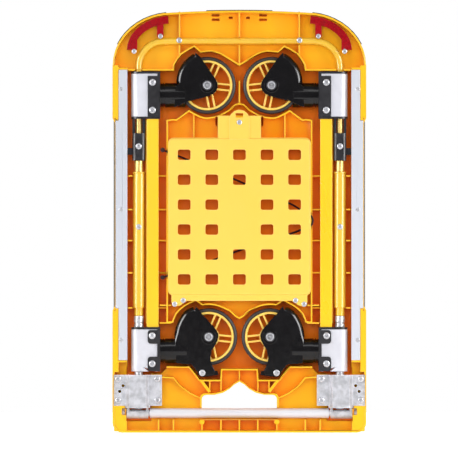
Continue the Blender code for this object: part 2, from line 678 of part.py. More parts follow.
def build_bumpers(material):
    """Make the three bumper strips round the front edge of the deck."""
    corner = (HALF - CORNER_ACROSS, DECK_LENGTH - CROWN - CORNER_ALONG)
    for name, side in SIDES.items():
        near = arc(corner, CORNER_ACROSS + GAP, CORNER_ALONG + GAP, 24, 84, 8)
        far = arc(corner, CORNER_ACROSS + 1.9, CORNER_ALONG + 1.9, 84, 24, 8)
        bumper([(side * x, z) for x, z in near + far], "corner_bumper_" + name, material)
    crown = [(x, DECK_LENGTH - CROWN * (x / corner[0]) ** 2) for x in (-58, -29, 0, 29, 58)]
    outline = [(x, z + GAP) for x, z in crown] + [(x, z + 1.9) for x, z in reversed(crown)]
    bumper(outline, "front_bumper", material)


def build_mat(material):
    """Make the rubber mat on the load face."""
    outline = rounded((-HALF + 42, HALF - 42), (104, DECK_LENGTH - 62), 22)
    mat = prism(outline, DECK_DEPTH + GAP, DECK_DEPTH + GAP + MAT_THICKNESS)
    return place(mat, "deck_mat", "deck_body", material)


# ------------------------------------------------------ swing axes and hinges

def build_housing(name, side, material):
    """Make one cast hinge housing, open towards the deck, round its mitre gears."""
    plate = box(span(side, HALF - 86.5, HALF - 2.1), (3, 8), (47, 101))
    lid = [(AXIS_X + 23.8, 5), (AXIS_X + 16.8, -4), (AXIS_X - 13, -4), (AXIS_X - 19.1, 5)]
    raised = prism([(side * x, d) for x, d in lid], 43, 100.7, "z")
    low_body = box(span(side, WALL_IN - 0.7, AXIS_X - 20.1), (4.5, 27), (43.5, 100.4))
    centre = (AXIS_DEPTH, SHAFT_HEIGHT)
    knuckle = disc(centre, 9.7, *span(side, WALL_IN - 0.5, AXIS_X - 16.6), along="x")
    web = box(span(side, WALL_IN - 0.9, AXIS_X - 16.9), (5.5, 22.5), (SHAFT_HEIGHT + 2, 46))
    housing = join(plate, raised, low_body, knuckle, web)
    x_cut = span(side, WALL_IN - 5, AXIS_X - 13)
    chamber = box(x_cut, (1.0, 29), (SHAFT_HEIGHT + 3, 95))
    barrel = disc(centre, GEAR_RADIUS + 0.6, *x_cut, along="x")
    bore = disc(centre, SPINDLE_RADIUS + 0.4, *span(side, WALL_IN + 2, AXIS_X - 25), along="x", steps=SMALL)
    neck = box((side * AXIS_X - 8, side * AXIS_X + 8), (AXIS_DEPTH - 8.2, 29), (90, 103))
    cut(housing, chamber, barrel, bore, neck)
    cut(housing, *[disc((side * (HALF - x), z), 3.0, 1, 10, steps=6) for x, z in ((18.5, 82), (12.5, 72))])
    return place(housing, "hinge_housing_" + name, "deck_body", material)


def build_pivot_rod(name, side, material):
    """Make the fixed rod on a swing axis, with its thick threaded part."""
    top = FRONT_NECK_Z + FRONT_BLOCK_HEIGHT / 2 + GAP + BRACKET
    thread_low = clamp_low() - GAP - THREAD_LENGTH
    rod = disc((side * AXIS_X, AXIS_DEPTH), ROD_RADIUS, 52, top, along="z", steps=SMALL)
    thread = disc((side * AXIS_X, AXIS_DEPTH), THREAD_RADIUS, thread_low, clamp_low() - GAP, along="z")
    return place(join(rod, thread), "pivot_rod_" + name, "deck_body", material)


def clamp_low():
    """Return the height of the lower end of the tube clamps."""
    return FRONT_NECK_Z - CLAMP_BELOW


def build_pivot_tube(name, side, material):
    """Make the painted tube round the pivot rod, with a neck and a flange."""
    low = REAR_NECK_Z + 61.6
    top = clamp_low() - THREAD_LENGTH - 2 * GAP
    bore = ROD_RADIUS + 0.4
    flange = PIVOT_TUBE_RADIUS + 0.8
    profile = [(bore, low), (7.6, low), (7.6, low + 14), (PIVOT_TUBE_RADIUS, low + 14),
               (PIVOT_TUBE_RADIUS, top - 3), (flange, top - 3), (flange, top), (bore, top)]
    tube = turned(profile, (side * AXIS_X, AXIS_DEPTH), "z")
    return place(tube, "pivot_tube_" + name, "deck_body", material)


def build_collar(name, side, material):
    """Make the zinc collar between a pivot tube and the rear block."""
    low = REAR_NECK_Z + REAR_BLOCK_HEIGHT / 2 + GAP + BRACKET + GAP
    high = REAR_NECK_Z + 61.3
    bore = ROD_RADIUS + 0.4
    profile = [(bore, low), (8.5, low), (8.5, low + 5), (7.7, low + 6), (7.7, low + 8), (8.5, low + 9),
               (8.5, high - 1), (7.6, high), (bore, high)]
    collar = turned(profile, (side * AXIS_X, AXIS_DEPTH), "z", SMALL + 2)
    return place(collar, "pivot_collar_" + name, "deck_body", material)


def build_clamp(name, side, material):
    """Make the black clamp that ties a pivot rod to the deck, with its fork."""
    low = clamp_low()
    high = FRONT_NECK_Z - FRONT_BLOCK_HEIGHT / 2 - 2 * GAP - BRACKET
    x = side * AXIS_X
    section = rounded((x - CLAMP_HALF, x + CLAMP_HALF), (AXIS_DEPTH - CLAMP_HALF, AXIS_DEPTH + 10), 6, 3)
    clamp = prism(section, low, low + CLAMP_BODY, "z")
    stub = box(span(side, AXIS_X + 10, CHANNEL_OUT - 0.6), (8, 18), (low + 10, low + 22))
    prongs = [box((x + offset - 2.3, x + offset + 2.3), (7, 21), (low + CLAMP_BODY - 1, high))
              for offset in (-8.8, 8.8)]
    join(clamp, stub, *prongs)
    recess = prism(rounded((x - 6, x + 6), (low + 6, low + 40), 6, 4), -1, AXIS_DEPTH - 9.4)
    bore = disc((x, AXIS_DEPTH), ROD_RADIUS + 0.4, low - 1, high + 1, along="z", steps=SMALL)
    cut(clamp, bore, recess)
    return place(clamp, "tube_clamp_" + name, "deck_body", material)


# ----------------------------------------------------------------- the handle

def build_handle(materials):
    """Make the folding U handle, its grip, arms, cross shaft and gears."""
    top = DECK_LENGTH - HANDLE_TOP_FROM_TOP
    low = SHAFT_HEIGHT + SOCKET_TOP + GAP
    bend = arc((HANDLE_X - HANDLE_BEND, top - HANDLE_BEND), HANDLE_BEND, HANDLE_BEND, 90, 0, 7)
    route = mirrored([(0, top)] + bend + [(HANDLE_X, low)])
    tube = tube_along([(x, HANDLE_DEPTH, z) for x, z in route], HANDLE_RADIUS, wall=HANDLE_WALL)
    place(tube, "handle_tube", "handle", materials["steel"])
    half = GRIP_LENGTH / 2
    bore = HANDLE_RADIUS + GAP
    profile = [(bore, -half), (GRIP_RADIUS - 1.5, -half), (GRIP_RADIUS, -half + 2), (GRIP_RADIUS, half - 2),
               (GRIP_RADIUS - 1.5, half), (bore, half)]
    grip = turned(profile, (HANDLE_DEPTH, top), "x")
    place(grip, "handle_grip", "handle", materials["foam"])
    end = HANDLE_X + ARM_THICKNESS / 2 + 0.6
    shaft = disc((AXIS_DEPTH, SHAFT_HEIGHT), SPINDLE_RADIUS, -end, end, along="x", steps=SMALL)
    wide = AXIS_X - 19.6
    join(shaft, disc((AXIS_DEPTH, SHAFT_HEIGHT), SHAFT_RADIUS, -wide, wide, along="x"))
    place(shaft, "cross_shaft", "handle", materials["aluminium"])
    for name, side in SIDES.items():
        build_arm(name, side, materials["cast"])
        build_shaft_gear(name, side, materials["steel_bare"])


def build_arm(name, side, material):
    """Make one arm that offsets the handle from the cross shaft."""
    x = span(side, HANDLE_X - ARM_THICKNESS / 2, HANDLE_X + ARM_THICKNESS / 2)
    axis = (AXIS_DEPTH, SHAFT_HEIGHT)
    hub = disc(axis, ARM_HUB, *x, along="x")
    link = box((x[0] + 0.4, x[1] - 0.4), (AXIS_DEPTH, HANDLE_DEPTH), (SHAFT_HEIGHT - 7.6, SHAFT_HEIGHT + 7.6))
    centre = (side * HANDLE_X, HANDLE_DEPTH)
    top = SHAFT_HEIGHT + SOCKET_TOP
    socket = disc(centre, HANDLE_RADIUS - 0.2, SHAFT_HEIGHT - 9, top, along="z")
    tongue_radius = HANDLE_RADIUS - HANDLE_WALL - GAP
    spigot = disc(centre, tongue_radius, top - 2, top + SPIGOT, along="z", steps=SMALL)
    arm = join(hub, link, socket, spigot)
    cut(arm, disc(axis, SPINDLE_RADIUS + GAP, x[0] - 2, x[1] + 2, along="x", steps=SMALL))
    return place(arm, "handle_arm_" + name, "handle", material)


def toothed_ring(radius, at_position):
    """Return one ring of a bevel gear's outline, as (across, across, along) points."""
    points = []
    for i in range(2 * GEAR_TEETH):
        reach = radius if i % 2 else radius - 0.9
        angle = math.pi * i / GEAR_TEETH
        points.append((reach * math.cos(angle), reach * math.sin(angle), at_position))
    return points


def mitre_gear(axis_point, along, sign, bore):
    """Make a small mitre gear facing along the negative of its sign."""
    rings = [toothed_ring(radius, far) for radius, far in (
        (GEAR_RADIUS - 1.6, 6.7), (GEAR_RADIUS, 8.3), (GEAR_RADIUS, 12))]
    x0, d0, z0 = axis_point
    if along == "x":
        world = [[at(x0 + sign * t, d0 + a, z0 + b) for a, b, t in ring] for ring in rings]
        hole = disc((d0, z0), bore, *sorted((x0 + sign * 3, x0 + sign * 15)), along="x", steps=SMALL)
    else:
        world = [[at(x0 + a, d0 + b, z0 + sign * t) for a, b, t in ring] for ring in rings]
        hole = disc((x0, d0), bore, *sorted((z0 + sign * 14, z0 + sign * 15)), along="z", steps=SMALL)
    gear = mesh_object("gear", world)
    return cut(gear, hole)


def build_shaft_gear(name, side, material):
    """Make the mitre gear on one end of the cross shaft."""
    gear = mitre_gear((side * AXIS_X, AXIS_DEPTH, SHAFT_HEIGHT), "x", side, SPINDLE_RADIUS + GAP)
    return place(gear, "shaft_gear_" + name, "handle", material)


# ------------------------------------------------------------------- the legs

def block_profile(side):
    """Return a swing block's section: round at its axis, flat at its end."""
    back = arc((AXIS_X, AXIS_DEPTH), BLOCK_BACK, BLOCK_DEPTH / 2, -90, 90, 8)
    end = AXIS_X - BLOCK_REACH
    points = [(end, AXIS_DEPTH - BLOCK_DEPTH / 2)] + back + [(end, AXIS_DEPTH + BLOCK_DEPTH / 2)]
    return [(side * x, d) for x, d in points]


def build_block(end, name, side, low, height, neck_z, material):
    """Make one cast swing block with its bores for the rod and the caster stem."""
    block = prism(block_profile(side), low, low + height, "z")
    centre = (side * AXIS_X, AXIS_DEPTH)
    rod = disc(centre, ROD_RADIUS + 0.4, low - 1, low + height + 1, along="z", steps=SMALL)
    mouth = span(side, AXIS_X - BLOCK_REACH - 1, AXIS_X - BLOCK_REACH + 9)
    stem = disc((AXIS_DEPTH, neck_z), STEM_RADIUS + 0.4, *mouth, along="x", steps=8)
    tools = [rod, stem]
    if end == "rear":
        corner = [(AXIS_X - BLOCK_REACH - 1, low - 1), (AXIS_X - 7.6, low + 8), (AXIS_X - 19, low - 1)]
        tools.append(prism([(side * x, z) for x, z in corner], -1, AXIS_DEPTH + BLOCK_DEPTH))
    cut(block, *tools)
    return place(block, "swing_block_%s_%s" % (end, name), "leg_" + name, material)


def build_bracket(end, name, side, low, height, neck_z, material):
    """Make the black bracket that wraps one swing block and carries the caster's neck."""
    inner = AXIS_X - BLOCK_REACH - GAP
    outer = inner - BRACKET_END
    near, far = AXIS_DEPTH - BLOCK_DEPTH / 2, AXIS_DEPTH + BLOCK_DEPTH / 2
    top = low + height
    plate_low, plate_high = low, top - 4
    wall = span(side, outer, inner)
    plate = box(wall, (near - 2.6, far), (plate_low, plate_high))
    flange = [(side * x, depth) for x, depth in flange_profile(outer)]
    pieces = [prism(flange, top + GAP, top + GAP + BRACKET, "z"),
              box(wall, (near, far - 1), (plate_high - 1, top + GAP + BRACKET - 0.2))]
    reach = AXIS_X - 15.8
    if end == "front":
        pieces.append(prism(flange, low - GAP - BRACKET, low - GAP, "z"))
        pieces.append(box(wall, (near, far - 1), (low - GAP - BRACKET + 0.2, low + 2)))
        pieces.append(box(span(side, outer + 1, reach), (near - 2.6, near - GAP), (plate_low, plate_high)))
    else:
        for lug_low, lug_high in ((low + 0.6, low + 26), (top - 25, top - 1)):
            lug = rounded((outer - 3, reach), (lug_low, lug_high), 5, 3)
            pieces.append(prism([(side * x, z) for x, z in lug], near - 2.6, near - GAP))
    bracket = join(plate, *pieces)
    through = span(side, outer - 4, inner + 2)
    stem = disc((AXIS_DEPTH, neck_z), STEM_RADIUS + 0.4, *through, along="x", steps=8)
    rod = disc((side * AXIS_X, AXIS_DEPTH), ROD_RADIUS + 0.4, low - 9, top + 9, along="z", steps=SMALL)
    trim = box(span(side, outer - 5, outer), (-9, 40), (low - 9, top + 9))
    cut(bracket, stem, rod, trim)
    return place(bracket, "caster_mount_%s_%s" % (end, name), "leg_" + name, material)


def flange_profile(outer):
    """Return the section of a bracket's flange round the swing axis."""
    back = arc((AXIS_X, AXIS_DEPTH), BLOCK_BACK, BLOCK_DEPTH / 2, -90, 90, 6)
    near, far = AXIS_DEPTH - BLOCK_DEPTH / 2 + 0.4, AXIS_DEPTH + BLOCK_DEPTH / 2 - 1
    return [(outer + 0.5, near)] + back + [(outer + 0.5, far)]


def build_leg(name, side, materials):
    """Make one folding leg: two blocks, their brackets, the link bar and its gear."""
    leg = "leg_" + name
    front_low = FRONT_NECK_Z - FRONT_BLOCK_HEIGHT / 2
    rear_low = REAR_NECK_Z - REAR_BLOCK_HEIGHT / 2 + 1.2
    for end, low, height, neck in (("front", front_low, FRONT_BLOCK_HEIGHT, FRONT_NECK_Z),
                                   ("rear", rear_low, REAR_BLOCK_HEIGHT - 1.2, REAR_NECK_Z)):
        build_block(end, name, side, low, height, neck, materials["block"])
        build_bracket(end, name, side, low, height, neck, materials["black"])
    bar_low = REAR_NECK_Z + REAR_BLOCK_HEIGHT / 2 + BRACKET + 2 * GAP
    bar_high = front_low - BRACKET - 2 * GAP
    bar = box(span(side, AXIS_X - 14, AXIS_X - 14 - BAR_WIDTH), (4, 4 + BAR_THICKNESS), (bar_low, bar_high))
    place(bar, "link_bar_" + name, leg, materials["bar"])
    gear = mitre_gear((side * AXIS_X, AXIS_DEPTH, SHAFT_HEIGHT), "z", 1, SPINDLE_RADIUS)
    centre = (side * AXIS_X, AXIS_DEPTH)
    join(gear, disc(centre, 7.25, SHAFT_HEIGHT + 11, rear_low - GAP, along="z", steps=SMALL))
    cut(gear, disc(centre, ROD_RADIUS + GAP, 50, rear_low + 2, along="z", steps=SMALL))
    place(gear, "leg_gear_" + name, leg, materials["steel_bare"])


# ----------------------------------------------------------------- the casters

# Outlines from the wheel's centre, x outwards
FRONT_HOOD = [(54.5, -1), (54, 12), (51, 24), (45, 36), (36, 46.5), (28.5, 53), (21, 57), (17, 54.5),
              (12, 49), (-15.6, 9.5), (-18.2, 3), (-18.4, -3), (-16.5, -9), (-11.2, -15), (-4, -18.5),
              (35.4, -28.5), (50, -36), (57, -38)]
REAR_HOOD = [(60.5, 4), (59, 13), (55.5, 23.5), (50, 34.5), (42.5, 44.5), (33, 50.5), (23, 53.5), (19, 50),
             (15, 44), (-13.7, 12), (-16.8, 5), (-17, 1), (-15.5, -6), (-12.8, -12), (-5.6, -23), (-3, -38),
             (-4.7, -48), (-11, -60), (-8.4, -66), (5, -67.5), (14, -69), (30, -48), (57, -46)]
PEDAL_PIVOT = (11.4, -63.0)


def caster_frame(end):
    """Return a caster's wheel gap, wheel height, neck height and hood outline."""
    if end == "front":
        return FRONT_WHEEL_GAP, FRONT_WHEEL_Z, FRONT_NECK_Z, FRONT_HOOD
    return REAR_WHEEL_GAP, REAR_WHEEL_Z, REAR_NECK_Z, REAR_HOOD


def build_hood(end, name, side, material):
    """Make one caster's hood: two cheeks, the crown that joins them, neck and stem."""
    gap, wheel_z, neck_z, outline = caster_frame(end)
    centre = (side * wheel_x(gap), wheel_z)
    shape = [(side * x, z) for x, z in from_wheel(outline, gap, wheel_z)]
    near, far = AXIS_DEPTH - HOOD_HALF, AXIS_DEPTH + HOOD_HALF
    hood = prism(shape, near, far)
    neck_end = BRACKET_OUT - GAP
    ring_low = neck_end - 8.5
    inside = wheel_x(gap) + 51 * HOOD_SCALE
    axis = (AXIS_DEPTH, neck_z)
    neck = disc(axis, NECK_RADIUS, *span(side, inside, ring_low), along="x", steps=20)
    groove = NECK_RADIUS - 1.4
    rings = [disc(axis, radius, *span(side, ring_low + a, ring_low + b), along="x", steps=20)
             for radius, a, b in ((groove, -0.5, 3.2), (NECK_RADIUS, 2.6, 5.2), (groove, 4.8, 8.5))]
    stem = disc(axis, STEM_RADIUS, *span(side, neck_end - 2, neck_end + STEM_LENGTH), along="x", steps=8)
    join(hood, neck, stem, *rings)
    room = disc(centre, WHEEL_RADIUS + 2, near + CHEEK, far - CHEEK, steps=FINE)
    axle = disc(centre, AXLE_RADIUS + 0.4, near - 3, far + 3, steps=SMALL)
    recess = disc(centre, 8.6, near - 3, near + 2, steps=SMALL)
    tools = [room, axle, recess]
    if end == "rear":
        px, pz = from_wheel([PEDAL_PIVOT], gap, wheel_z)[0]
        tools.append(box(span(side, px - 40, px + 12), (AXIS_DEPTH - 7.5, AXIS_DEPTH + 7.5),
                         (pz - 20, pz + 14)))
    cut(hood, *tools)
    if end == "rear":
        join(hood, disc((side * px, pz), 3.0, near + 1, far - 1, steps=8))
    return place(hood, "caster_hood_%s_%s" % (end, name), "caster_%s_%s" % (end, name), material)


def build_axle(end, name, side, material):
    """Make one axle bolt with its round head and its nut."""
    gap, wheel_z, _, _ = caster_frame(end)
    centre = (side * wheel_x(gap), wheel_z)
    near, far = AXIS_DEPTH - HOOD_HALF, AXIS_DEPTH + HOOD_HALF
    bolt = disc(centre, AXLE_RADIUS, near, far + 1, steps=SMALL)
    join(bolt, disc(centre, 7.2, near - 1.4, near + 1.7, steps=SMALL),
         disc(centre, 6.8, far + GAP, far + 4.5, steps=6))
    return place(bolt, "axle_bolt_%s_%s" % (end, name), "caster_%s_%s" % (end, name), material)


def build_wheel(end, name, side, materials):
    """Make one wheel: a spoked rim and a tyre round it."""
    gap, wheel_z, _, _ = caster_frame(end)
    centre = (side * wheel_x(gap), wheel_z)
    body = "wheel_%s_%s" % (end, name)
    ring_out = WHEEL_RADIUS - TYRE_THICKNESS - GAP
    half = WHEEL_WIDTH / 2
    near, far = AXIS_DEPTH - half, AXIS_DEPTH + half
    ring = turned([(ring_out, near + 1), (ring_out, far - 1), (ring_out - RIM_RING, far - 1),
                   (ring_out - RIM_RING, near + 1)], centre, "depth", FINE)
    hub = disc(centre, HUB_RADIUS, near + 4, far - 4)
    boss = disc(centre, 11.0, near - 0.7, far + 0.7, steps=SMALL)
    pieces = [hub, boss]
    for k in range(SPOKE_PAIRS):
        angle = math.radians(-6 + 360 / SPOKE_PAIRS * k)
        along = Vector((side * -math.cos(angle), math.sin(angle)))
        across = Vector((-along.y, along.x))
        for spread in (-SPOKE_SPREAD, SPOKE_SPREAD):
            start = Vector(centre) + along * (HUB_RADIUS - 4) + across * spread
            stop = Vector(centre) + along * (ring_out - 1.5) + across * spread * 0.9
            pieces.append(strip([tuple(start), tuple(stop)], SPOKE, near + 5, far - 5))
    join(ring, *pieces)
    cut(ring, disc(centre, AXLE_RADIUS + GAP, near - 3, far + 3, steps=SMALL))
    place(ring, "wheel_rim_%s_%s" % (end, name), body, materials["rim"])
    inner = WHEEL_RADIUS - TYRE_THICKNESS
    shoulder = WHEEL_RADIUS - 3
    profile = [(inner, near), (shoulder, near), (WHEEL_RADIUS, near + 4), (WHEEL_RADIUS, far - 4),
               (shoulder, far), (inner, far)]
    tyre = turned(profile, centre, "depth", FINE)
    place(tyre, "tyre_%s_%s" % (end, name), body, materials["rubber"])


def build_pedal(name, side, material):
    """Make one brake pedal, hinged in the tail of a rear hood."""
    gap, wheel_z, _, _ = caster_frame("rear")
    px, pz = from_wheel([PEDAL_PIVOT], gap, wheel_z)[0]
    shape = [(7, 4.5), (2, 7), (-6, 6), (-12, 2.5), (-27, 3.5), (-28, -4), (-12, -6), (0, -7), (6, -5),
             (8.5, 0)]
    outline = [(side * (px + x * HOOD_SCALE), pz + z * HOOD_SCALE) for x, z in shape]
    pedal = prism(outline, AXIS_DEPTH - 6.8, AXIS_DEPTH + 6.8)
    cut(pedal, disc((side * px, pz), 3.4, AXIS_DEPTH - 9, AXIS_DEPTH + 9, steps=8))
    return place(pedal, "brake_pedal_" + name, "pedal_" + name, material)


# -------------------------------------------------------------------- assembly

def make_materials():
    """Make the trolley's materials."""
    return {
        "deck": finish("yellow_plastic", (240, 160, 10), 0.45),
        "cover": finish("light_yellow_plastic", (247, 215, 70), 0.45),
        "paint": finish("yellow_paint", (243, 200, 50), 0.35),
        "bar": finish("yellow_painted_bar", (245, 204, 34), 0.35),
        "aluminium": finish("aluminium", (205, 210, 218), 0.35, 0.9),
        "cast": finish("cast_aluminium", (182, 183, 188), 0.55, 0.8),
        "block": finish("light_casting", (228, 228, 234), 0.5, 0.3),
        "black": finish("black_plastic", (25, 22, 26), 0.3),
        "rubber": finish("black_rubber", (30, 28, 28), 0.8),
        "rim": finish("wheel_plastic", (246, 205, 80), 0.45),
        "steel": finish("chromed_steel", (200, 200, 205), 0.2, 1.0),
        "steel_bare": finish("steel", (170, 170, 175), 0.35, 1.0),
        "foam": finish("foam", (30, 30, 30), 0.9),
        "red": finish("red_reflector", (200, 20, 30), 0.15),
        "cord": finish("elastic_cord", (40, 22, 20), 0.8),
    }


def make_bodies():
    """Make the empties on the joints' axes, from the deck outwards."""
    make_body("deck_body", at(0, MIDDLE, 0))
    make_body("handle", at(0, AXIS_DEPTH, SHAFT_HEIGHT), "deck_body")
    for name, side in SIDES.items():
        make_body("leg_" + name, at(side * AXIS_X, AXIS_DEPTH, 0), "deck_body")
        for end in ("front", "rear"):
            gap, wheel_z, neck_z, _ = caster_frame(end)
            tail = "_%s_%s" % (end, name)
            caster = make_body("caster" + tail, at(side * BRACKET_OUT, AXIS_DEPTH, neck_z), "leg_" + name)
            make_body("wheel" + tail, at(side * wheel_x(gap), AXIS_DEPTH, wheel_z), caster.name)
        px, pz = from_wheel([PEDAL_PIVOT], REAR_WHEEL_GAP, REAR_WHEEL_Z)[0]
        make_body("pedal_" + name, at(side * px, AXIS_DEPTH, pz), "caster_rear_" + name)


def main():
    """Clear the scene and build the trolley."""
    for old in list(bpy.data.objects):
        bpy.data.objects.remove(old)
    materials = make_materials()
    make_bodies()
    build_deck(materials["deck"])
    build_frame_tube(materials["paint"])
    build_cover(materials["cover"])
    build_cord(materials["cord"])
    build_bumpers(materials["rubber"])
    build_mat(materials["rubber"])
    build_handle(materials)
    for name, side in SIDES.items():
        build_rail(name, side, materials["aluminium"])
        build_reflector(name, side, materials["red"])
        build_housing(name, side, materials["cast"])
        build_pivot_rod(name, side, materials["steel_bare"])
        build_pivot_tube(name, side, materials["paint"])
        build_collar(name, side, materials["aluminium"])
        build_clamp(name, side, materials["black"])
        build_leg(name, side, materials)
        build_pedal(name, side, materials["black"])
        for end in ("front", "rear"):
            build_hood(end, name, side, materials["black"])
            build_axle(end, name, side, materials["steel"])
            build_wheel(end, name, side, materials)


main()
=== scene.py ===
"""The finished look of a folding platform trolley, folded flat and standing on its handle end.

The underside faces -Y, the trolley's length runs up +Z and its right side is +X.
Each sub-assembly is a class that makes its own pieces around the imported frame.
All lengths are in metres.
"""
import json
import logging
import math
from dataclasses import dataclass, field
from enum import Enum
from typing import Callable, ClassVar, Iterable, Sequence

import bpy
from mathutils import Matrix, Vector

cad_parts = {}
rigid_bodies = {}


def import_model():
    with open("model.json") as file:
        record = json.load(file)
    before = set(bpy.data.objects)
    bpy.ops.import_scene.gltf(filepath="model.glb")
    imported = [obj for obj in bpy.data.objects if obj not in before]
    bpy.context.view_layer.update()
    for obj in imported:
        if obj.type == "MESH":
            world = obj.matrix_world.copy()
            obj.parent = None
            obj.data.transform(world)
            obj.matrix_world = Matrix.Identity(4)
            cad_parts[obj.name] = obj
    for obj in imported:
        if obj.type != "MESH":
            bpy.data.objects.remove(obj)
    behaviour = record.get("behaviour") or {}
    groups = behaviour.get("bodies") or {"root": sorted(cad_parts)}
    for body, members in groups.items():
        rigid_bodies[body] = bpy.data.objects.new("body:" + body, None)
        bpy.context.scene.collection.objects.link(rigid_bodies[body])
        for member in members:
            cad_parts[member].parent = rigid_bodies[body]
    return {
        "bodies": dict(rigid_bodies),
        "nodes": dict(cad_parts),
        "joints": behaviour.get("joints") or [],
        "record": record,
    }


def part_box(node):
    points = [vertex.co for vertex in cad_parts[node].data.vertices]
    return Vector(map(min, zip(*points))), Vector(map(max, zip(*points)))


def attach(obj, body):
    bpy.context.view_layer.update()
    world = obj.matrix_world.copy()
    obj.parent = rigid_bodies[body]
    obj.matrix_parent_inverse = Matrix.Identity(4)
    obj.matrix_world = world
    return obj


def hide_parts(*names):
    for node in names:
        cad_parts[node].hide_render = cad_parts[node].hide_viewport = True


LOG = logging.getLogger("trolley")
TOUCH = 0.000001
FLOOR_GAP = 0.0003
HOOD_HALF = 0.02
PEDAL_PIVOT = (0.0114, -0.063)

Colour = tuple[float, float, float]
Place = tuple[float, float, float]


class Side(Enum):
    """A side of the trolley, seen from its underside."""

    LEFT = -1
    RIGHT = 1

    @property
    def word(self) -> str:
        """Return the side as it is written in a piece's name."""
        return self.name.lower()


class End(Enum):
    """An end of the trolley: the handle hinges at the rear."""

    FRONT = "front"
    REAR = "rear"


class Axis(Enum):
    """The line that a round piece is turned about."""

    X = (0.0, math.pi / 2, 0.0)
    DEPTH = (math.pi / 2, 0.0, 0.0)

    @property
    def direction(self) -> Vector:
        """Return the axis as a unit vector; a circle's own upward side points along it."""
        return Vector((1, 0, 0) if self is Axis.X else (0, -1, 0))


# ------------------------------------------------------------------ finishes

def linear(red: int, green: int, blue: int) -> Colour:
    """Turn a colour as seen on a screen into linear light.

    Args:
        red: Red from 0 to 255.
        green: Green from 0 to 255.
        blue: Blue from 0 to 255.

    Returns:
        The three linear values, from 0 to 1.
    """
    values = [c / 255 for c in (red, green, blue)]
    return tuple(v / 12.92 if v <= 0.04045 else ((v + 0.055) / 1.055) ** 2.4 for v in values)


class NodeSheet:
    """A material's node tree, with short calls for building it."""

    def __init__(self, material: bpy.types.Material) -> None:
        """Take over a material's node tree."""
        material.use_nodes = True
        self.tree = material.node_tree
        self.shader = self.tree.nodes["Principled BSDF"]
        self.place = self.add("ShaderNodeTexCoord").outputs["Object"]

    def add(self, kind: str, inputs: dict | None = None, **settings: object) -> bpy.types.Node:
        """Add a node.

        Args:
            kind: The node's type name.
            inputs: Values or sockets by input name or number.
            settings: The node's own settings.

        Returns:
            The new node.
        """
        node = self.tree.nodes.new(kind)
        for key, value in settings.items():
            setattr(node, key, value)
        for key, value in (inputs or {}).items():
            socket = node.inputs[key]
            if isinstance(value, bpy.types.NodeSocket):
                self.tree.links.new(value, socket)
            elif isinstance(value, tuple) and len(value) == 3 and socket.type == "RGBA":
                socket.default_value = (*value, 1.0)
            else:
                socket.default_value = value
        return node

    def noise(self, scale: float, detail: float = 3.0, stretch: Place = (1, 1, 1),
              roughness: float = 0.55) -> bpy.types.NodeSocket:
        """Return a noise value that is fixed to the piece.

        Args:
            scale: Waves per metre.
            detail: Octaves of finer noise.
            stretch: How the pattern is squeezed along X, Y and Z.
            roughness: How strong the finer octaves are.

        Returns:
            The noise's factor socket.
        """
        mapping = self.add("ShaderNodeMapping", {"Vector": self.place, "Scale": stretch})
        noise = self.add("ShaderNodeTexNoise", {"Vector": mapping.outputs[0], "Scale": scale,
                                                "Detail": detail, "Roughness": roughness})
        return noise.outputs["Fac"]

    def ramp(self, factor: bpy.types.NodeSocket, low: float, high: float, to_low: float = 0.0,
             to_high: float = 1.0) -> bpy.types.NodeSocket:
        """Return a factor mapped smoothly from one range to another."""
        node = self.add("ShaderNodeMapRange", {"Value": factor, "From Min": low, "From Max": high,
                                               "To Min": to_low, "To Max": to_high},
                        interpolation_type="SMOOTHSTEP")
        return node.outputs["Result"]

    def mix(self, factor: bpy.types.NodeSocket, first: object, second: object) -> bpy.types.NodeSocket:
        """Return two colours mixed by a factor."""
        return self.add("ShaderNodeMix", {0: factor, 6: first, 7: second}, data_type="RGBA").outputs[2]

    def math(self, operation: str, first: object, second: object) -> bpy.types.NodeSocket:
        """Return two values joined by an arithmetic operation."""
        return self.add("ShaderNodeMath", {0: first, 1: second}, operation=operation).outputs[0]

    def bands(self, turn: float, scale: float) -> bpy.types.NodeSocket:
        """Return straight bands, turned about the depth axis."""
        mapping = self.add("ShaderNodeMapping", {"Vector": self.place, "Rotation": (0, turn, 0)})
        inputs = {"Vector": mapping.outputs[0], "Scale": scale, "Distortion": 0.0}
        return self.add("ShaderNodeTexWave", inputs, bands_direction="X").outputs["Fac"]

    def edges(self, radius: float) -> bpy.types.NodeSocket:
        """Return a mask that is 1 on the corners and edges of a piece.

        Args:
            radius: How far the mask reaches from an edge, in metres.

        Returns:
            A value socket from 0 to 1.
        """
        rounded = self.add("ShaderNodeBevel", {"Radius": radius}, samples=6)
        flat = self.add("ShaderNodeNewGeometry")
        dot = self.add("ShaderNodeVectorMath", {0: rounded.outputs[0], 1: flat.outputs["Normal"]},
                       operation="DOT_PRODUCT")
        return self.ramp(dot.outputs["Value"], 0.985, 0.9)

    def relief(self, height: bpy.types.NodeSocket, distance: float, strength: float = 1.0,
               under: bpy.types.NodeSocket | None = None) -> bpy.types.NodeSocket:
        """Return a normal bumped by a height, over another bump if one is given."""
        inputs = {"Height": height, "Distance": distance, "Strength": strength}
        if under is not None:
            inputs["Normal"] = under
        return self.add("ShaderNodeBump", inputs).outputs[0]

    def wire(self, source: bpy.types.NodeSocket, socket: str) -> None:
        """Feed one of the shader's sockets."""
        self.tree.links.new(source, self.shader.inputs[socket])


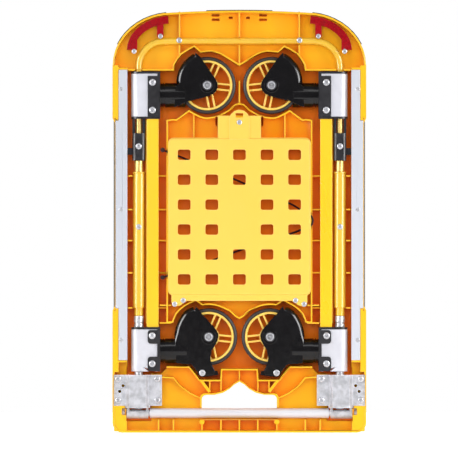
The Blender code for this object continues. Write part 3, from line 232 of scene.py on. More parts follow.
@dataclass(frozen=True)
class Finish:
    """A surface: its colour, its gloss and the small variations that make it look real."""

    name: str
    slot: str
    colour: Colour
    roughness: float
    metallic: float = 0.0
    mottle: float = 0.06
    mottle_scale: float = 14.0
    stretch: Place = (1.0, 1.0, 1.0)
    grain_scale: float = 900.0
    grain_depth: float = 0.00002
    roughness_spread: float = 0.08
    # The next three fields give a painted highlight: a lighter colour painted along edges and corners, where
    # they would catch the light.
    edge_highlight: Colour | None = None
    edge_reach: float = 0.0012
    edge_strength: float = 0.6
    specular: float = 0.5
    coat: float = 0.0
    made: ClassVar[dict] = {}

    def material(self) -> bpy.types.Material:
        """Return the material, made once."""
        if self.name not in self.made:
            material = bpy.data.materials.new(self.name)
            sheet = NodeSheet(material)
            shader = sheet.shader
            shader.inputs["Metallic"].default_value = self.metallic
            shader.inputs["Specular IOR Level"].default_value = self.specular
            shader.inputs["Coat Weight"].default_value = self.coat
            shader.inputs["Coat Roughness"].default_value = 0.08
            self.dress(sheet)
            self.made[self.name] = material
        return self.made[self.name]

    def body_colour(self, sheet: NodeSheet) -> bpy.types.NodeSocket:
        """Return the colour of the bulk of the surface, gently mottled."""
        cloud = sheet.ramp(sheet.noise(self.mottle_scale, 4.0, self.stretch), 0.3, 0.7)
        dark = tuple(c * (1 - self.mottle) for c in self.colour)
        light = tuple(min(1.0, c * (1 + self.mottle)) for c in self.colour)
        return sheet.mix(cloud, dark, light)

    def dress(self, sheet: NodeSheet) -> None:
        """Build the node tree: colour with a painted highlight along the edges, gloss and grain."""
        colour = self.body_colour(sheet)
        # Painted highlight: a lighter colour mixed in, in patches, along the edges.
        if self.edge_highlight:
            patchy = sheet.ramp(sheet.noise(60.0, 3.0), 0.35, 0.65, 0.55, 1.0)
            painted_highlight = sheet.math("MULTIPLY", sheet.edges(self.edge_reach), patchy)
            painted_highlight = sheet.math("MULTIPLY", painted_highlight, self.edge_strength)
            colour = sheet.mix(painted_highlight, colour, self.edge_highlight)
        sheet.wire(colour, "Base Color")
        grain = sheet.noise(self.grain_scale, 2.0, self.stretch)
        smear = sheet.noise(self.mottle_scale * 3, 3.0, self.stretch)
        low, high = self.roughness - self.roughness_spread, self.roughness + self.roughness_spread
        sheet.wire(sheet.ramp(smear, 0.25, 0.75, max(0.03, low), min(1.0, high)), "Roughness")
        sheet.wire(sheet.relief(grain, self.grain_depth), "Normal")


@dataclass(frozen=True)
class PlasticWithPaintedShade(Finish):
    """Moulded plastic with painted shade: its recesses are painted a deeper, redder colour, standing in for
    shade and for light bouncing inside them.
    """

    # Painted shade colours for enclosed surfaces, the most enclosed first.
    deep_shade: Colour = (0.4, 0.05, 0.002)
    middle: Colour = (0.85, 0.28, 0.006)
    reach: float = 0.055
    # Painted shade on the recess floors, with the depth and wall limits that bound it.
    floor_shade: Colour | None = None
    floors: tuple[float, float] = (-0.0065, -0.0025)
    load_face: tuple[float, float] = (0.011, 0.013)
    side_walls: tuple[float, float] = (0.2, 0.206)
    front_wall: tuple[float, float] = (0.715, 0.73)
    rear_wall: tuple[float, float] = (0.008, 0.02)

    def body_colour(self, sheet: NodeSheet) -> bpy.types.NodeSocket:
        """Return the colour with painted shade: deeper and redder where the surface is enclosed by its own
        walls.
        """
        openness = sheet.add("ShaderNodeAmbientOcclusion", {"Distance": self.reach}, samples=6,
                             only_local=True).outputs["AO"]
        wander = sheet.ramp(sheet.noise(9.0, 3.0), 0.3, 0.7, -0.05, 0.05)
        openness = sheet.math("ADD", openness, wander)
        lower = sheet.mix(sheet.ramp(openness, 0.05, 0.4), self.deep_shade, self.middle)
        colour = sheet.mix(sheet.ramp(openness, 0.4, 0.9), lower, self.colour)
        # Painted shade on the recess floors: a deeper colour mixed in by depth, inside the walls.
        if self.floor_shade:
            parts = sheet.add("ShaderNodeSeparateXYZ", {"Vector": sheet.place}).outputs
            floor_shade = sheet.ramp(parts["Y"], *self.floors)
            across = sheet.math("ABSOLUTE", parts["X"], 0.0)
            for limit in (sheet.ramp(parts["Y"], *self.load_face, 1.0, 0.0),
                          sheet.ramp(across, *self.side_walls, 1.0, 0.0),
                          sheet.ramp(parts["Z"], *self.front_wall, 1.0, 0.0),
                          sheet.ramp(parts["Z"], *self.rear_wall)):
                floor_shade = sheet.math("MULTIPLY", floor_shade, limit)
            colour = sheet.mix(floor_shade, colour, self.floor_shade)
        return colour


@dataclass(frozen=True)
class Foam(Finish):
    """A soft sleeve with a closed-cell skin and faint rings round it."""

    ring_scale: float = 330.0
    pore_scale: float = 1400.0

    def dress(self, sheet: NodeSheet) -> None:
        """Build the node tree with pores and rings."""
        sheet.wire(self.body_colour(sheet), "Base Color")
        pores = sheet.add("ShaderNodeTexVoronoi", {"Vector": sheet.place, "Scale": self.pore_scale})
        rings = sheet.add("ShaderNodeTexWave", {"Vector": sheet.place, "Scale": self.ring_scale,
                                                "Distortion": 0.6}, bands_direction="X").outputs["Fac"]
        fine = sheet.relief(pores.outputs["Distance"], 0.00012)
        sheet.wire(sheet.relief(rings, 0.00008, 0.6, fine), "Normal")
        sheet.wire(sheet.ramp(sheet.noise(40.0), 0.3, 0.7, 0.8, 0.95), "Roughness")


@dataclass(frozen=True)
class Diamond(Finish):
    """A rubber mat with a small raised diamond tread."""

    pitch: float = 0.009

    def dress(self, sheet: NodeSheet) -> None:
        """Build the node tree with the tread as crossed bands."""
        sheet.wire(self.body_colour(sheet), "Base Color")
        scale = math.pi / 10 / self.pitch
        height = sheet.math("MINIMUM", *(sheet.ramp(sheet.bands(turn, scale), 0.55, 0.85)
                                         for turn in (math.pi / 4, -math.pi / 4)))
        fine = sheet.relief(sheet.noise(1200.0), 0.00003)
        sheet.wire(sheet.relief(height, 0.0007, 1.0, fine), "Normal")
        sheet.wire(sheet.ramp(height, 0.0, 1.0, self.roughness, self.roughness - 0.15), "Roughness")


@dataclass(frozen=True)
class Reflector(Finish):
    """Clear coloured plastic over a grid of tiny prisms."""

    cell: float = 0.0022

    def dress(self, sheet: NodeSheet) -> None:
        """Build the node tree with prism cells under a glossy face."""
        inputs = {"Vector": sheet.place, "Scale": 1 / self.cell, "Randomness": 0.1}
        cells = sheet.add("ShaderNodeTexVoronoi", inputs, feature="DISTANCE_TO_EDGE").outputs["Distance"]
        seam = sheet.ramp(cells, 0.0, 0.12)
        dark = tuple(c * 0.45 for c in self.colour)
        sheet.wire(sheet.mix(seam, dark, self.body_colour(sheet)), "Base Color")
        sheet.wire(sheet.relief(cells, 0.0003, 0.5), "Normal")
        sheet.wire(sheet.ramp(sheet.noise(60.0), 0.3, 0.7, 0.1, 0.2), "Roughness")


@dataclass(frozen=True)
class Braid(Finish):
    """A woven sleeve over elastic."""

    pitch: float = 0.0016
    lay: float = 0.9

    def dress(self, sheet: NodeSheet) -> None:
        """Build the node tree with crossing strands."""
        scale = 1 / self.pitch
        height = sheet.math("MAXIMUM", sheet.bands(self.lay, scale), sheet.bands(-self.lay, scale))
        dark = tuple(c * 0.4 for c in self.colour)
        sheet.wire(sheet.mix(height, dark, self.colour), "Base Color")
        sheet.wire(sheet.relief(height, 0.0002), "Normal")
        sheet.wire(sheet.ramp(height, 0.0, 1.0, 0.95, 0.75), "Roughness")


# Deck plastic with a painted highlight along its edges, painted shade in its recesses and a painted shade
# colour on its sunk floors.
DECK_YELLOW = PlasticWithPaintedShade(
    "deck_plastic", "deck_plastic", (0.93, 0.49, 0.005), 0.42, mottle=0.04, grain_scale=1500.0,
    grain_depth=0.000025, specular=0.3, edge_highlight=(0.93, 0.56, 0.11), edge_reach=0.0013, edge_strength=0.8,
    deep_shade=(0.90, 0.20, 0.001), middle=(0.92, 0.42, 0.002), floor_shade=(1.0, 0.22, 0.003))
# Cover plastic with a painted highlight along its edges and painted shade in its holes and recesses.
COVER_YELLOW = PlasticWithPaintedShade(
    "cover_plastic", "cover_plastic", (0.90, 0.58, 0.085), 0.4, mottle=0.05, mottle_scale=9.0,
    specular=0.35, edge_highlight=(1.0, 0.80, 0.32), edge_reach=0.0016, edge_strength=0.6,
    deep_shade=(0.80, 0.24, 0.004), middle=(0.90, 0.50, 0.02), reach=0.02)
# Painted highlight along the bar's edges.
BAR_YELLOW = Finish("bar_paint", "yellow_paint", (0.90, 0.55, 0.008), 0.32, mottle=0.05, mottle_scale=6.0,
                    stretch=(1, 1, 0.3), grain_scale=700.0, grain_depth=0.00003,
                    edge_highlight=(0.98, 0.8, 0.2), coat=0.2)
TUBE_YELLOW = Finish("tube_paint", "yellow_paint", (0.82, 0.50, 0.035), 0.3, mottle=0.04, mottle_scale=8.0,
                     stretch=(1, 1, 0.3), grain_scale=700.0, grain_depth=0.00003, coat=0.2)
# Painted highlight along the rail's edges.
RAIL_METAL = Finish(
    "anodised_rail", "aluminium", linear(196, 199, 208), 0.5, 0.15, mottle=0.05, mottle_scale=5.0,
    stretch=(1, 1, 0.12), grain_scale=1800.0, grain_depth=0.000012, roughness_spread=0.1,
    edge_highlight=linear(240, 240, 245))
SHAFT_METAL = Finish(
    "anodised_tube", "aluminium", linear(214, 214, 220), 0.45, 0.25, mottle=0.04, mottle_scale=9.0,
    stretch=(0.15, 1, 1), grain_scale=1600.0, grain_depth=0.00001)
# Painted highlight along the casting's edges.
CASTING = Finish("die_casting", "cast_aluminium", linear(186, 187, 193), 0.42, 0.3, mottle=0.22,
                 mottle_scale=85.0, grain_scale=420.0, grain_depth=0.00012, roughness_spread=0.14,
                 edge_highlight=linear(246, 246, 250), edge_reach=0.0018, edge_strength=0.8)
# Painted highlight along the block's edges.
BLOCK_METAL = Finish("light_casting", "block_casting", linear(206, 206, 214), 0.42, 0.1, mottle=0.05,
                     mottle_scale=30.0, grain_scale=900.0, grain_depth=0.00003,
                     edge_highlight=linear(240, 240, 246), edge_strength=0.5)
BLACK_GLOSS = Finish(
    "black_nylon", "black_plastic", (0.003, 0.0024, 0.003), 0.2, mottle=0.2, mottle_scale=40.0,
    grain_scale=1100.0, grain_depth=0.00001, roughness_spread=0.05, specular=0.4)
BLACK_SATIN = Finish(
    "black_bracket", "black_plastic", (0.012, 0.011, 0.014), 0.42, mottle=0.2, mottle_scale=40.0,
    grain_scale=900.0, grain_depth=0.00004, roughness_spread=0.08)
BLACK_RUBBER = Finish("bumper_rubber", "rubber", (0.02, 0.02, 0.021), 0.75, mottle=0.15, mottle_scale=50.0,
                      grain_scale=1200.0, grain_depth=0.00004)
MAT_RUBBER = Diamond("mat_rubber", "rubber", (0.022, 0.022, 0.024), 0.72, mottle=0.12)
TYRE_RUBBER = Finish(
    "tyre_rubber", "tyre_rubber", (0.018, 0.013, 0.012), 0.55, mottle=0.25, mottle_scale=60.0,
    grain_scale=1300.0, grain_depth=0.00004)
# Painted highlight along the wheel's edges.
WHEEL_CREAM = Finish("wheel_nylon", "wheel_plastic", (0.93, 0.60, 0.10), 0.35, mottle=0.05, mottle_scale=30.0,
                     edge_highlight=(1.0, 0.8, 0.3), edge_strength=0.7)
STEEL = Finish("zinc_steel", "steel", linear(196, 196, 201), 0.3, 0.4, mottle=0.12, mottle_scale=70.0,
               grain_scale=800.0, grain_depth=0.00003, roughness_spread=0.1)
BRASSY_ROD = Finish("yellow_zinc", "steel", linear(226, 192, 110), 0.34, 0.35, mottle=0.12, mottle_scale=60.0,
                    grain_scale=700.0, grain_depth=0.00003)
CHROME = Finish(
    "plated_tube", "handle_steel", linear(214, 215, 220), 0.16, 0.95, mottle=0.03, mottle_scale=20.0,
    grain_scale=900.0, grain_depth=0.000006, roughness_spread=0.05)
GRIP_FOAM = Foam("grip_foam", "foam", (0.018, 0.018, 0.02), 0.9, mottle=0.2, mottle_scale=60.0)
RED_LENS = Reflector("red_lens", "red_reflector", (0.42, 0.0, 0.006), 0.12, specular=0.3, coat=0.1)
CORD_BRAID = Braid("cord_braid", "elastic_cord", (0.035, 0.008, 0.006), 0.85)


# ------------------------------------------------------------------ the bench

def clear_selection() -> None:
    """Leave nothing selected, in object mode."""
    if bpy.context.mode != "OBJECT":
        bpy.ops.object.mode_set(mode="OBJECT")
    bpy.ops.object.select_all(action="DESELECT")


class Piece:
    """One mesh on the bench, shaped with Blender's operators."""

    def __init__(self, obj: bpy.types.Object, name: str) -> None:
        """Take an object and name it."""
        self.obj = obj
        obj.name = name
        obj.data.name = name

    @classmethod
    def turned(cls, name: str, profile: Sequence[tuple[float, float]], sides: int = 64,
               centre: Sequence[float] = (0, 0, 0), axis: Axis = Axis.DEPTH) -> "Piece":
        """Turn a solid of revolution: a disc, drawn out step by step along its axis.

        Args:
            name: The piece's name.
            profile: (radius, position along the axis) from the first end to the last.
            sides: Sides round the piece.
            centre: The origin of those positions.
            axis: The axis to turn about.

        Returns:
            The closed solid.
        """
        along = axis.direction
        (radius, start), steps = profile[0], profile[1:]
        clear_selection()
        bpy.ops.mesh.primitive_circle_add(vertices=sides, radius=radius, fill_type="NGON",
                                          location=Vector(centre) + along * start, rotation=axis.value)
        piece = cls(bpy.context.active_object, name).settle()
        piece.edit()
        here, position = radius, start
        for radius, place in steps:
            bpy.ops.mesh.extrude_region_move(
                TRANSFORM_OT_translate={"value": tuple(along * (place - position))})
            if abs(radius - here) > 1e-9:
                scale = radius / here
                bpy.ops.transform.resize(value=(scale,) * 3, center_override=Vector(centre) + along * place)
            here, position = radius, place
        return piece.right_way_out()

    @classmethod
    def block(cls, name: str, low: Sequence[float], high: Sequence[float]) -> "Piece":
        """Start from a block between two corners."""
        clear_selection()
        low, high = Vector(low), Vector(high)
        bpy.ops.mesh.primitive_cube_add(size=1, location=(low + high) / 2, scale=high - low)
        return cls(bpy.context.active_object, name).settle()

    @classmethod
    def slab(cls, name: str, outline: Sequence[tuple[float, float]], near: float, far: float) -> "Piece":
        """Cut a flat slab to an outline.

        Args:
            name: The slab's name.
            outline: Its (x, z) points in order.
            near: The depth coordinate of its face towards -Y.
            far: The depth coordinate of its other face.

        Returns:
            The closed slab.
        """
        clear_selection()
        curve = bpy.data.curves.new(name, "CURVE")
        curve.dimensions = "2D"
        curve.fill_mode = "BOTH"
        spline = curve.splines.new("POLY")
        spline.points.add(len(outline) - 1)
        for knot, (x, z) in zip(spline.points, outline):
            knot.co = (x, z, 0, 1)
        spline.use_cyclic_u = True
        obj = bpy.data.objects.new(name, curve)
        bpy.context.scene.collection.objects.link(obj)
        obj.location = (0, near, 0)
        obj.rotation_euler = (math.pi / 2, 0, 0)
        obj.select_set(True)
        bpy.context.view_layer.objects.active = obj
        bpy.ops.object.convert(target="MESH")
        piece = cls(bpy.context.active_object, name).settle()
        piece.edit()
        bpy.ops.mesh.remove_doubles(threshold=TOUCH)
        bpy.ops.mesh.dissolve_limited(angle_limit=0.01)
        bpy.ops.mesh.extrude_region_move(TRANSFORM_OT_translate={"value": (0, far - near, 0)})
        return piece.right_way_out()

    @classmethod
    def from_node(cls, node: str) -> "Piece":
        """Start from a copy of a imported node's mesh, with its points merged."""
        clear_selection()
        source = FRAME["nodes"][node]
        obj = bpy.data.objects.new(node, source.data.copy())
        bpy.context.scene.collection.objects.link(obj)
        obj.data.materials.clear()
        return cls(obj, node + "_fine").merged()

    def pick(self) -> "Piece":
        """Make this the only selected, active object."""
        clear_selection()
        self.obj.select_set(True)
        bpy.context.view_layer.objects.active = self.obj
        return self

    def edit(self) -> "Piece":
        """Go into edit mode with all of the mesh selected."""
        self.pick()
        bpy.ops.object.mode_set(mode="EDIT")
        bpy.ops.mesh.select_all(action="SELECT")
        return self

    def settle(self) -> "Piece":
        """Put the object's place, turn and size into its mesh."""
        self.pick()
        bpy.ops.object.transform_apply(location=True, rotation=True, scale=True)
        return self

    def merged(self) -> "Piece":
        """Merge points that lie together."""
        self.edit()
        bpy.ops.mesh.remove_doubles(threshold=TOUCH)
        clear_selection()
        return self

    def right_way_out(self) -> "Piece":
        """Merge doubles and turn every face outwards."""
        self.edit()
        bpy.ops.mesh.remove_doubles(threshold=TOUCH)
        bpy.ops.mesh.normals_make_consistent(inside=False)
        clear_selection()
        return self

    def modified(self, kind: str, **settings: object) -> "Piece":
        """Add a modifier and apply it at once."""
        self.pick()
        modifier = self.obj.modifiers.new(kind.lower(), kind)
        for key, value in settings.items():
            setattr(modifier, key, value)
        bpy.ops.object.modifier_apply(modifier=modifier.name)
        return self

    def rounded(self, width: float, segments: int = 2, angle: float = 32.0, clamp: bool = True) -> "Piece":
        """Round the edges that are sharper than an angle."""
        return self.modified("BEVEL", width=width, segments=segments, limit_method="ANGLE",
                             angle_limit=math.radians(angle), use_clamp_overlap=clamp,
                             miter_outer="MITER_ARC")

    def round_where(self, test: Callable[[Vector, Vector], bool], width: float, segments: int = 6) -> "Piece":
        """Round the edges that a test picks out.

        Args:
            test: Whether an edge between two points is rounded.
            width: The width of the rounding.
            segments: Faces across it.

        Returns:
            The piece.
        """
        self.edit()
        bpy.ops.mesh.select_mode(type="EDGE")
        bpy.ops.mesh.select_all(action="DESELECT")
        bpy.ops.object.mode_set(mode="OBJECT")
        points = self.obj.data.vertices
        for edge in self.obj.data.edges:
            a, b = (points[i].co for i in edge.vertices)
            edge.select = test(a, b)
        bpy.ops.object.mode_set(mode="EDIT")
        bpy.ops.mesh.bevel(offset=width, segments=segments, profile=0.5, clamp_overlap=False)
        bpy.ops.mesh.select_mode(type="VERT")
        clear_selection()
        return self

    def less(self, *tools: "Piece") -> "Piece":
        """Cut other pieces from this one and discard them."""
        return self._boolean("DIFFERENCE", tools)

    def plus(self, *tools: "Piece") -> "Piece":
        """Join other pieces to this one."""
        return self._boolean("UNION", tools)

    def _boolean(self, operation: str, tools: Iterable["Piece"]) -> "Piece":
        """Run one Boolean for each tool, then remove the tool."""
        for tool in tools:
            self.modified("BOOLEAN", operation=operation, object=tool.obj, solver="EXACT")
            bpy.data.objects.remove(tool.obj)
        return self

    def copied(self, name: str, shift: Sequence[float] = (0, 0, 0), flip: bool = False) -> "Piece":
        """Copy the piece with its own mesh.

        Args:
            name: The copy's name.
            shift: How far the copy moves.
            flip: Whether it is mirrored to the other side of the trolley first.

        Returns:
            The copy.
        """
        mesh = self.obj.data.copy()
        obj = bpy.data.objects.new(name, mesh)
        bpy.context.scene.collection.objects.link(obj)
        matrix = Matrix.Translation(Vector(shift))
        if flip:
            matrix = matrix @ Matrix.Diagonal((-1, 1, 1, 1))
        mesh.transform(matrix)
        if flip:
            mesh.flip_normals()
        return Piece(obj, name)

    def done(self, finish: Finish, body: str, nodes: Sequence[str] = (), smooth: float = 38.0) -> "Piece":
        """Give the piece its finish, shading, body and what it stands for.

        Args:
            finish: The surface.
            body: The body that it rides on.
            nodes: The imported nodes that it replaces.
            smooth: The angle below which it is shaded smooth.

        Returns:
            The finished piece.
        """
        self.pick()
        self.obj.data.materials.clear()
        self.obj.data.materials.append(finish.material())
        bpy.ops.object.shade_smooth_by_angle(angle=math.radians(smooth))
        self.modified("WEIGHTED_NORMAL", keep_sharp=True, weight=60)
        clear_selection()
        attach(self.obj, body)
        if nodes:
            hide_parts(*nodes)
        LOG.info("%s: %d faces on %s", self.obj.name, len(self.obj.data.polygons), body)
        return self


def middle(node: str) -> Vector:
    """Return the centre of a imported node's box."""
    low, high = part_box(node)
    return (Vector(low) + Vector(high)) / 2


def body_of(node: str) -> str:
    """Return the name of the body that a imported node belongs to."""
    for body, nodes in FRAME["record"]["behaviour"]["bodies"].items():
        if node in nodes:
            return body
    raise KeyError(node)


def refine(node: str, finish: Finish, width: float, segments: int = 2, clamp: bool = True,
           smooth: float = 38.0) -> Piece:
    """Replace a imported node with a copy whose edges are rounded.

    Args:
        node: The node's name.
        finish: Its surface.
        width: The width of its rounded edges; 0 leaves them sharp.
        segments: Faces across each rounded edge.
        clamp: Whether the rounding is held back where edges are close.
        smooth: The angle below which it is shaded smooth.

    Returns:
        The new piece.
    """
    piece = Piece.from_node(node)
    if width:
        piece.rounded(width, segments, clamp=clamp)
    return piece.done(finish, body_of(node), [node], smooth)


def paint(node: str, finish: Finish) -> None:
    """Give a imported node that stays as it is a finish."""
    obj = FRAME["nodes"][node]
    obj.data.materials.clear()
    obj.data.materials.append(finish.material())
    LOG.info("%s keeps its shape", node)


# ------------------------------------------------------------- sub-assemblies

@dataclass
class Screw:
    """A round-headed screw with a hexagon socket, modelled once and copied."""

    radius: float = 0.0057
    height: float = 0.0026
    socket: float = 0.0026
    sides: int = 28
    patterns: ClassVar[dict] = {}

    def pattern(self) -> Piece:
        """Return the screw at the origin with its head towards -Y."""
        key = (self.radius, self.height)
        if key not in self.patterns:
            r, h = self.radius, self.height
            profile = [(r * 0.93, -0.0008), (r, 0.0), (r, h * 0.35), (r * 0.93, h * 0.68),
                       (r * 0.76, h * 0.92), (r * 0.6, h), (r * 0.5, h)]
            head = Piece.turned("screw_pattern", profile, self.sides)
            head.less(Piece.turned("socket_tool", [(self.socket, h * 0.25), (self.socket, h * 2)], 6))
            head.obj.hide_render = True
            self.patterns[key] = head
        return self.patterns[key]

    def fit(self, name: str, place: Sequence[float], body: str) -> None:
        """Put one copy of the screw in its place."""
        self.pattern().copied(name, place).done(STEEL, body)


@dataclass
class Deck:
    """The moulded deck with its rails, reflectors, bumpers, cord and mat."""

    edge: float = 0.0006
    rail_ends: tuple[float, float] = (0.035, 0.034)
    rail_middle: float = 0.0095
    rail_outboard: float = 0.0008
    lens_posts: tuple = ((0.1385, 0.695), (0.1847, 0.6685))
    rail_screw: Screw = field(default_factory=lambda: Screw(0.0042, 0.0007, 0.0018))
    lens_screw: Screw = field(default_factory=lambda: Screw(0.0044, 0.0022, 0.002))

    def build(self) -> None:
        """Make every piece that is fixed to the deck."""
        refine("deck", DECK_YELLOW, self.edge, 1, clamp=False, smooth=30)
        for side in Side:
            self.side_rail(side)
            self.reflector(side)
            refine("corner_bumper_" + side.word, BLACK_RUBBER, 0.0005)
        refine("front_bumper", BLACK_RUBBER, 0.0005)
        refine("deck_mat", MAT_RUBBER, 0.0009, 3)
        paint("bungee_cord", CORD_BRAID)

    def side_rail(self, side: Side) -> None:
        """Make one rail and its three countersunk screws."""
        node = "side_rail_" + side.word
        refine(node, RAIL_METAL, 0.0007, 3)
        low, high = (Vector(c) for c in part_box(node))
        x = (low.x + high.x) / 2 + side.value * self.rail_outboard
        rear, front = self.rail_ends
        heights = (low.z + rear, (low.z + high.z) / 2 + self.rail_middle, high.z - front)
        for i, z in enumerate(heights):
            self.rail_screw.fit("rail_screw_%s_%d" % (side.word, i), (x, low.y + 0.0003, z), "deck")

    def reflector(self, side: Side) -> None:
        """Make one corner reflector and the screws in its posts."""
        node = "corner_reflector_" + side.word
        refine(node, RED_LENS, 0.0007, 2)
        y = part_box(node)[0][1] + 0.0009
        for i, (x, z) in enumerate(self.lens_posts):
            self.lens_screw.fit("lens_screw_%s_%d" % (side.word, i), (side.value * x, y, z), "deck")


@dataclass
class Cover:
    """The perforated cover of the storage tray and its latch."""

    edge: float = 0.0009
    flange_screws: tuple = ((0.0986, 0.2318), (0.1135, 0.2252))
    latch_height: float = 0.544
    screw: Screw = field(default_factory=lambda: Screw(0.0046, 0.0018, 0.002))

    def build(self) -> None:
        """Make the cover and its screws."""
        refine("compartment_cover", COVER_YELLOW, self.edge, 2)
        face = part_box("compartment_cover")[0][1]
        for side in Side:
            for i, (x, z) in enumerate(self.flange_screws):
                place = (side.value * x, face + 0.0022, z)
                self.screw.fit("cover_screw_%s_%d" % (side.word, i), place, "deck")
        self.screw.fit("latch_screw", (0, face + 0.0006, self.latch_height), "deck")


@dataclass
class Frame:
    """The front frame tube, the swing axes and the hinge housings."""

    small: Screw = field(default_factory=lambda: Screw(0.005, 0.0022, 0.0021))
    large: Screw = field(default_factory=lambda: Screw(0.0056, 0.0028, 0.0026))
    axis_screw_height: float = 0.3607
    clamp_screw_height: float = 0.502
    tube_screw: tuple[float, float] = (0.1056, 0.688)
    plate_face: float = -0.0297
    plate_screws: tuple = ((0.213, 0.0936), (0.144, 0.0936), (0.144, 0.0563), (0.213, 0.0563))

    def build(self) -> None:
        """Make the tube, then both sides."""
        refine("front_frame_tube", TUBE_YELLOW, 0.0)
        for side in Side:
            self.axis(side)
            self.housing(side)

    def axis(self, side: Side) -> None:
        """Make one swing axis: rod, tube, collar and clamp."""
        word = side.word
        refine("pivot_rod_" + word, BRASSY_ROD, 0.0003)
        refine("pivot_tube_" + word, TUBE_YELLOW, 0.0004)
        refine("pivot_collar_" + word, STEEL, 0.0003)
        refine("tube_clamp_" + word, BLACK_SATIN, 0.0007)
        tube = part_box("pivot_tube_" + word)
        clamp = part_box("tube_clamp_" + word)
        x = middle("pivot_rod_" + word).x
        self.small.fit("axis_screw_" + word, (x, tube[0][1] + 0.0004, self.axis_screw_height), "deck")
        self.large.fit("clamp_screw_" + word, (x, clamp[0][1] + 0.0022, self.clamp_screw_height), "deck")
        x, z = self.tube_screw
        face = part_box("front_frame_tube")[0][1]
        self.small.fit("frame_screw_" + word, (side.value * x, face + 0.0004, z), "deck")

    def housing(self, side: Side) -> None:
        """Make one cast housing with its four screws."""
        node = "hinge_housing_" + side.word
        refine(node, CASTING, 0.0011, 3)
        for i, (x, z) in enumerate(self.plate_screws):
            place = (side.value * x, self.plate_face, z)
            self.large.fit("housing_screw_%s_%d" % (side.word, i), place, "deck")


@dataclass
class Legs:
    """The two folding legs: blocks, brackets, link bars and gears."""

    large: Screw = field(default_factory=lambda: Screw(0.006, 0.003, 0.0027))
    mount_screws: tuple = ((0.1524, 0.614), (0.1524, 0.5654), (0.1529, 0.1697), (0.1529, 0.1206))

    def build(self) -> None:
        """Make both legs."""
        for side in Side:
            word = side.word
            body = "leg_" + word
            refine("link_bar_" + word, BAR_YELLOW, 0.0008, 3)
            refine("leg_gear_" + word, STEEL, 0.0003)
            for end in End:
                refine("swing_block_%s_%s" % (end.value, word), BLOCK_METAL, 0.0009, 3)
                refine("caster_mount_%s_%s" % (end.value, word), BLACK_SATIN, 0.0007, 2)
            low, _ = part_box("caster_mount_front_" + word)
            for i, (x, z) in enumerate(self.mount_screws):
                self.large.fit("mount_screw_%s_%d" % (word, i), (side.value * x, low[1] + 0.0002, z), body)


def smooth_line(points: Sequence[tuple[float, float]], steps: int = 4) -> list[tuple[float, float]]:
    """Return a smooth line through points, with more points between them.

    Args:
        points: The points that the line passes through.
        steps: Pieces that each stretch is divided into.

    Returns:
        The line's points, without its last one.
    """
    line = []
    for i in range(len(points) - 1):
        p = [Vector(points[min(max(i + k, 0), len(points) - 1)]) for k in (-1, 0, 1, 2)]
        for k in range(steps):
            t = k / steps
            cubic = (p[2] - p[0]) * t + (2 * p[0] - 5 * p[1] + 4 * p[2] - p[3]) * t * t
            cubic += (3 * p[1] - p[0] - 3 * p[2] + p[3]) * t ** 3
            line.append(tuple(p[1] + cubic / 2))
    return line


@dataclass
class Wheel:
    """A spoked nylon wheel with a solid rubber tyre, made once and copied."""

    radius: float = 0.05
    tyre: float = 0.0057
    rim: float = 0.004
    gap: float = 0.0003
    half: float = 0.013
    hub: float = 0.0185
    spoke: float = 0.0034
    spread: float = 0.005
    pairs: int = 5
    first_spoke: float = -6.0
    patterns: ClassVar[dict] = {}

    def fit(self, tail: str, side: Side) -> None:
        """Put a copy of the tyre and the rim on one caster.

        Args:
            tail: The end and side in the wheel's node names.
            side: The side of the trolley.
        """
        if not self.patterns:
            self.patterns["tyre"] = self.make_tyre()
            self.patterns["wheel_rim"] = self.make_rim()
        centre = middle("tyre_" + tail)
        flip = side is Side.RIGHT
        for part, finish in (("tyre", TYRE_RUBBER), ("wheel_rim", WHEEL_CREAM)):
            node = "%s_%s" % (part, tail)
            self.patterns[part].copied(node + "_fine", centre, flip).done(finish, body_of(node), [node])

    def make_tyre(self) -> Piece:
        """Make the tyre at the origin: round shoulders and a shallow groove beside the rim."""
        r, h = self.radius, self.half
        shoulder = 0.0042
        profile = [(r - self.tyre, -h + 0.0009), (r - self.tyre + 0.0009, -h)]
        for k in range(7):
            angle = math.radians(90 * k / 6)
            profile.append((r - shoulder + shoulder * math.sin(angle), -h + shoulder * (1 - math.cos(angle))))
        profile += [(r, 0.0)]
        profile += [(radius, -place) for radius, place in reversed(profile[:-1])]
        tyre = Piece.turned("tyre_pattern", profile, 96)
        bore = r - self.tyre
        tyre.less(Piece.turned("bore_tool", [(bore, -2 * h), (bore, 2 * h)], 96))
        tyre.obj.hide_render = True
        return tyre

    def make_rim(self) -> Piece:
        """Make the rim at the origin: a rounded ring, a hub and pairs of spokes."""
        outer = self.radius - self.tyre - self.gap
        inner = outer - self.rim
        h = self.half - 0.001
        rim = Piece.turned("rim_pattern", [(outer - 0.0008, -h), (outer, -h + 0.0008), (outer, h - 0.0008),
                                           (outer - 0.0008, h)], 96)
        waist = [(inner + 0.0006, -2 * h), (inner + 0.0006, -h), (inner - 0.0006, -h + 0.004),
                 (inner - 0.0006, h - 0.004), (inner + 0.0006, h), (inner + 0.0006, 2 * h)]
        rim.less(Piece.turned("waist_tool", waist, 96))
        rim.rounded(0.0006, 2, 50)
        hub_profile = [(self.hub - 0.001, -h + 0.002), (self.hub, -h + 0.003), (self.hub, h - 0.003),
                       (self.hub - 0.001, h - 0.002)]
        hub = Piece.turned("hub", hub_profile, 48)
        reach = self.half + 0.0007
        hub.plus(Piece.turned("boss", [(0.011, -reach), (0.011, reach)], 32))
        spokes = []
        for k in range(self.pairs):
            angle = math.radians(self.first_spoke + 360 / self.pairs * k)
            for spread in (-self.spread, self.spread):
                arm = Piece.block("spoke", (self.hub - 0.003, -h + 0.0035, spread - self.spoke / 2),
                                  (inner + 0.0012, h - 0.0035, spread + self.spoke / 2))
                arm.rounded(0.0009, 3, 60)
                arm.obj.data.transform(Matrix.Rotation(-angle, 4, "Y"))
                spokes.append(arm)
        rim.plus(hub, *spokes)
        rim.less(Piece.turned("axle_tool", [(0.0043, -0.02), (0.0043, 0.02)], 24))
        rim.obj.hide_render = True
        return rim


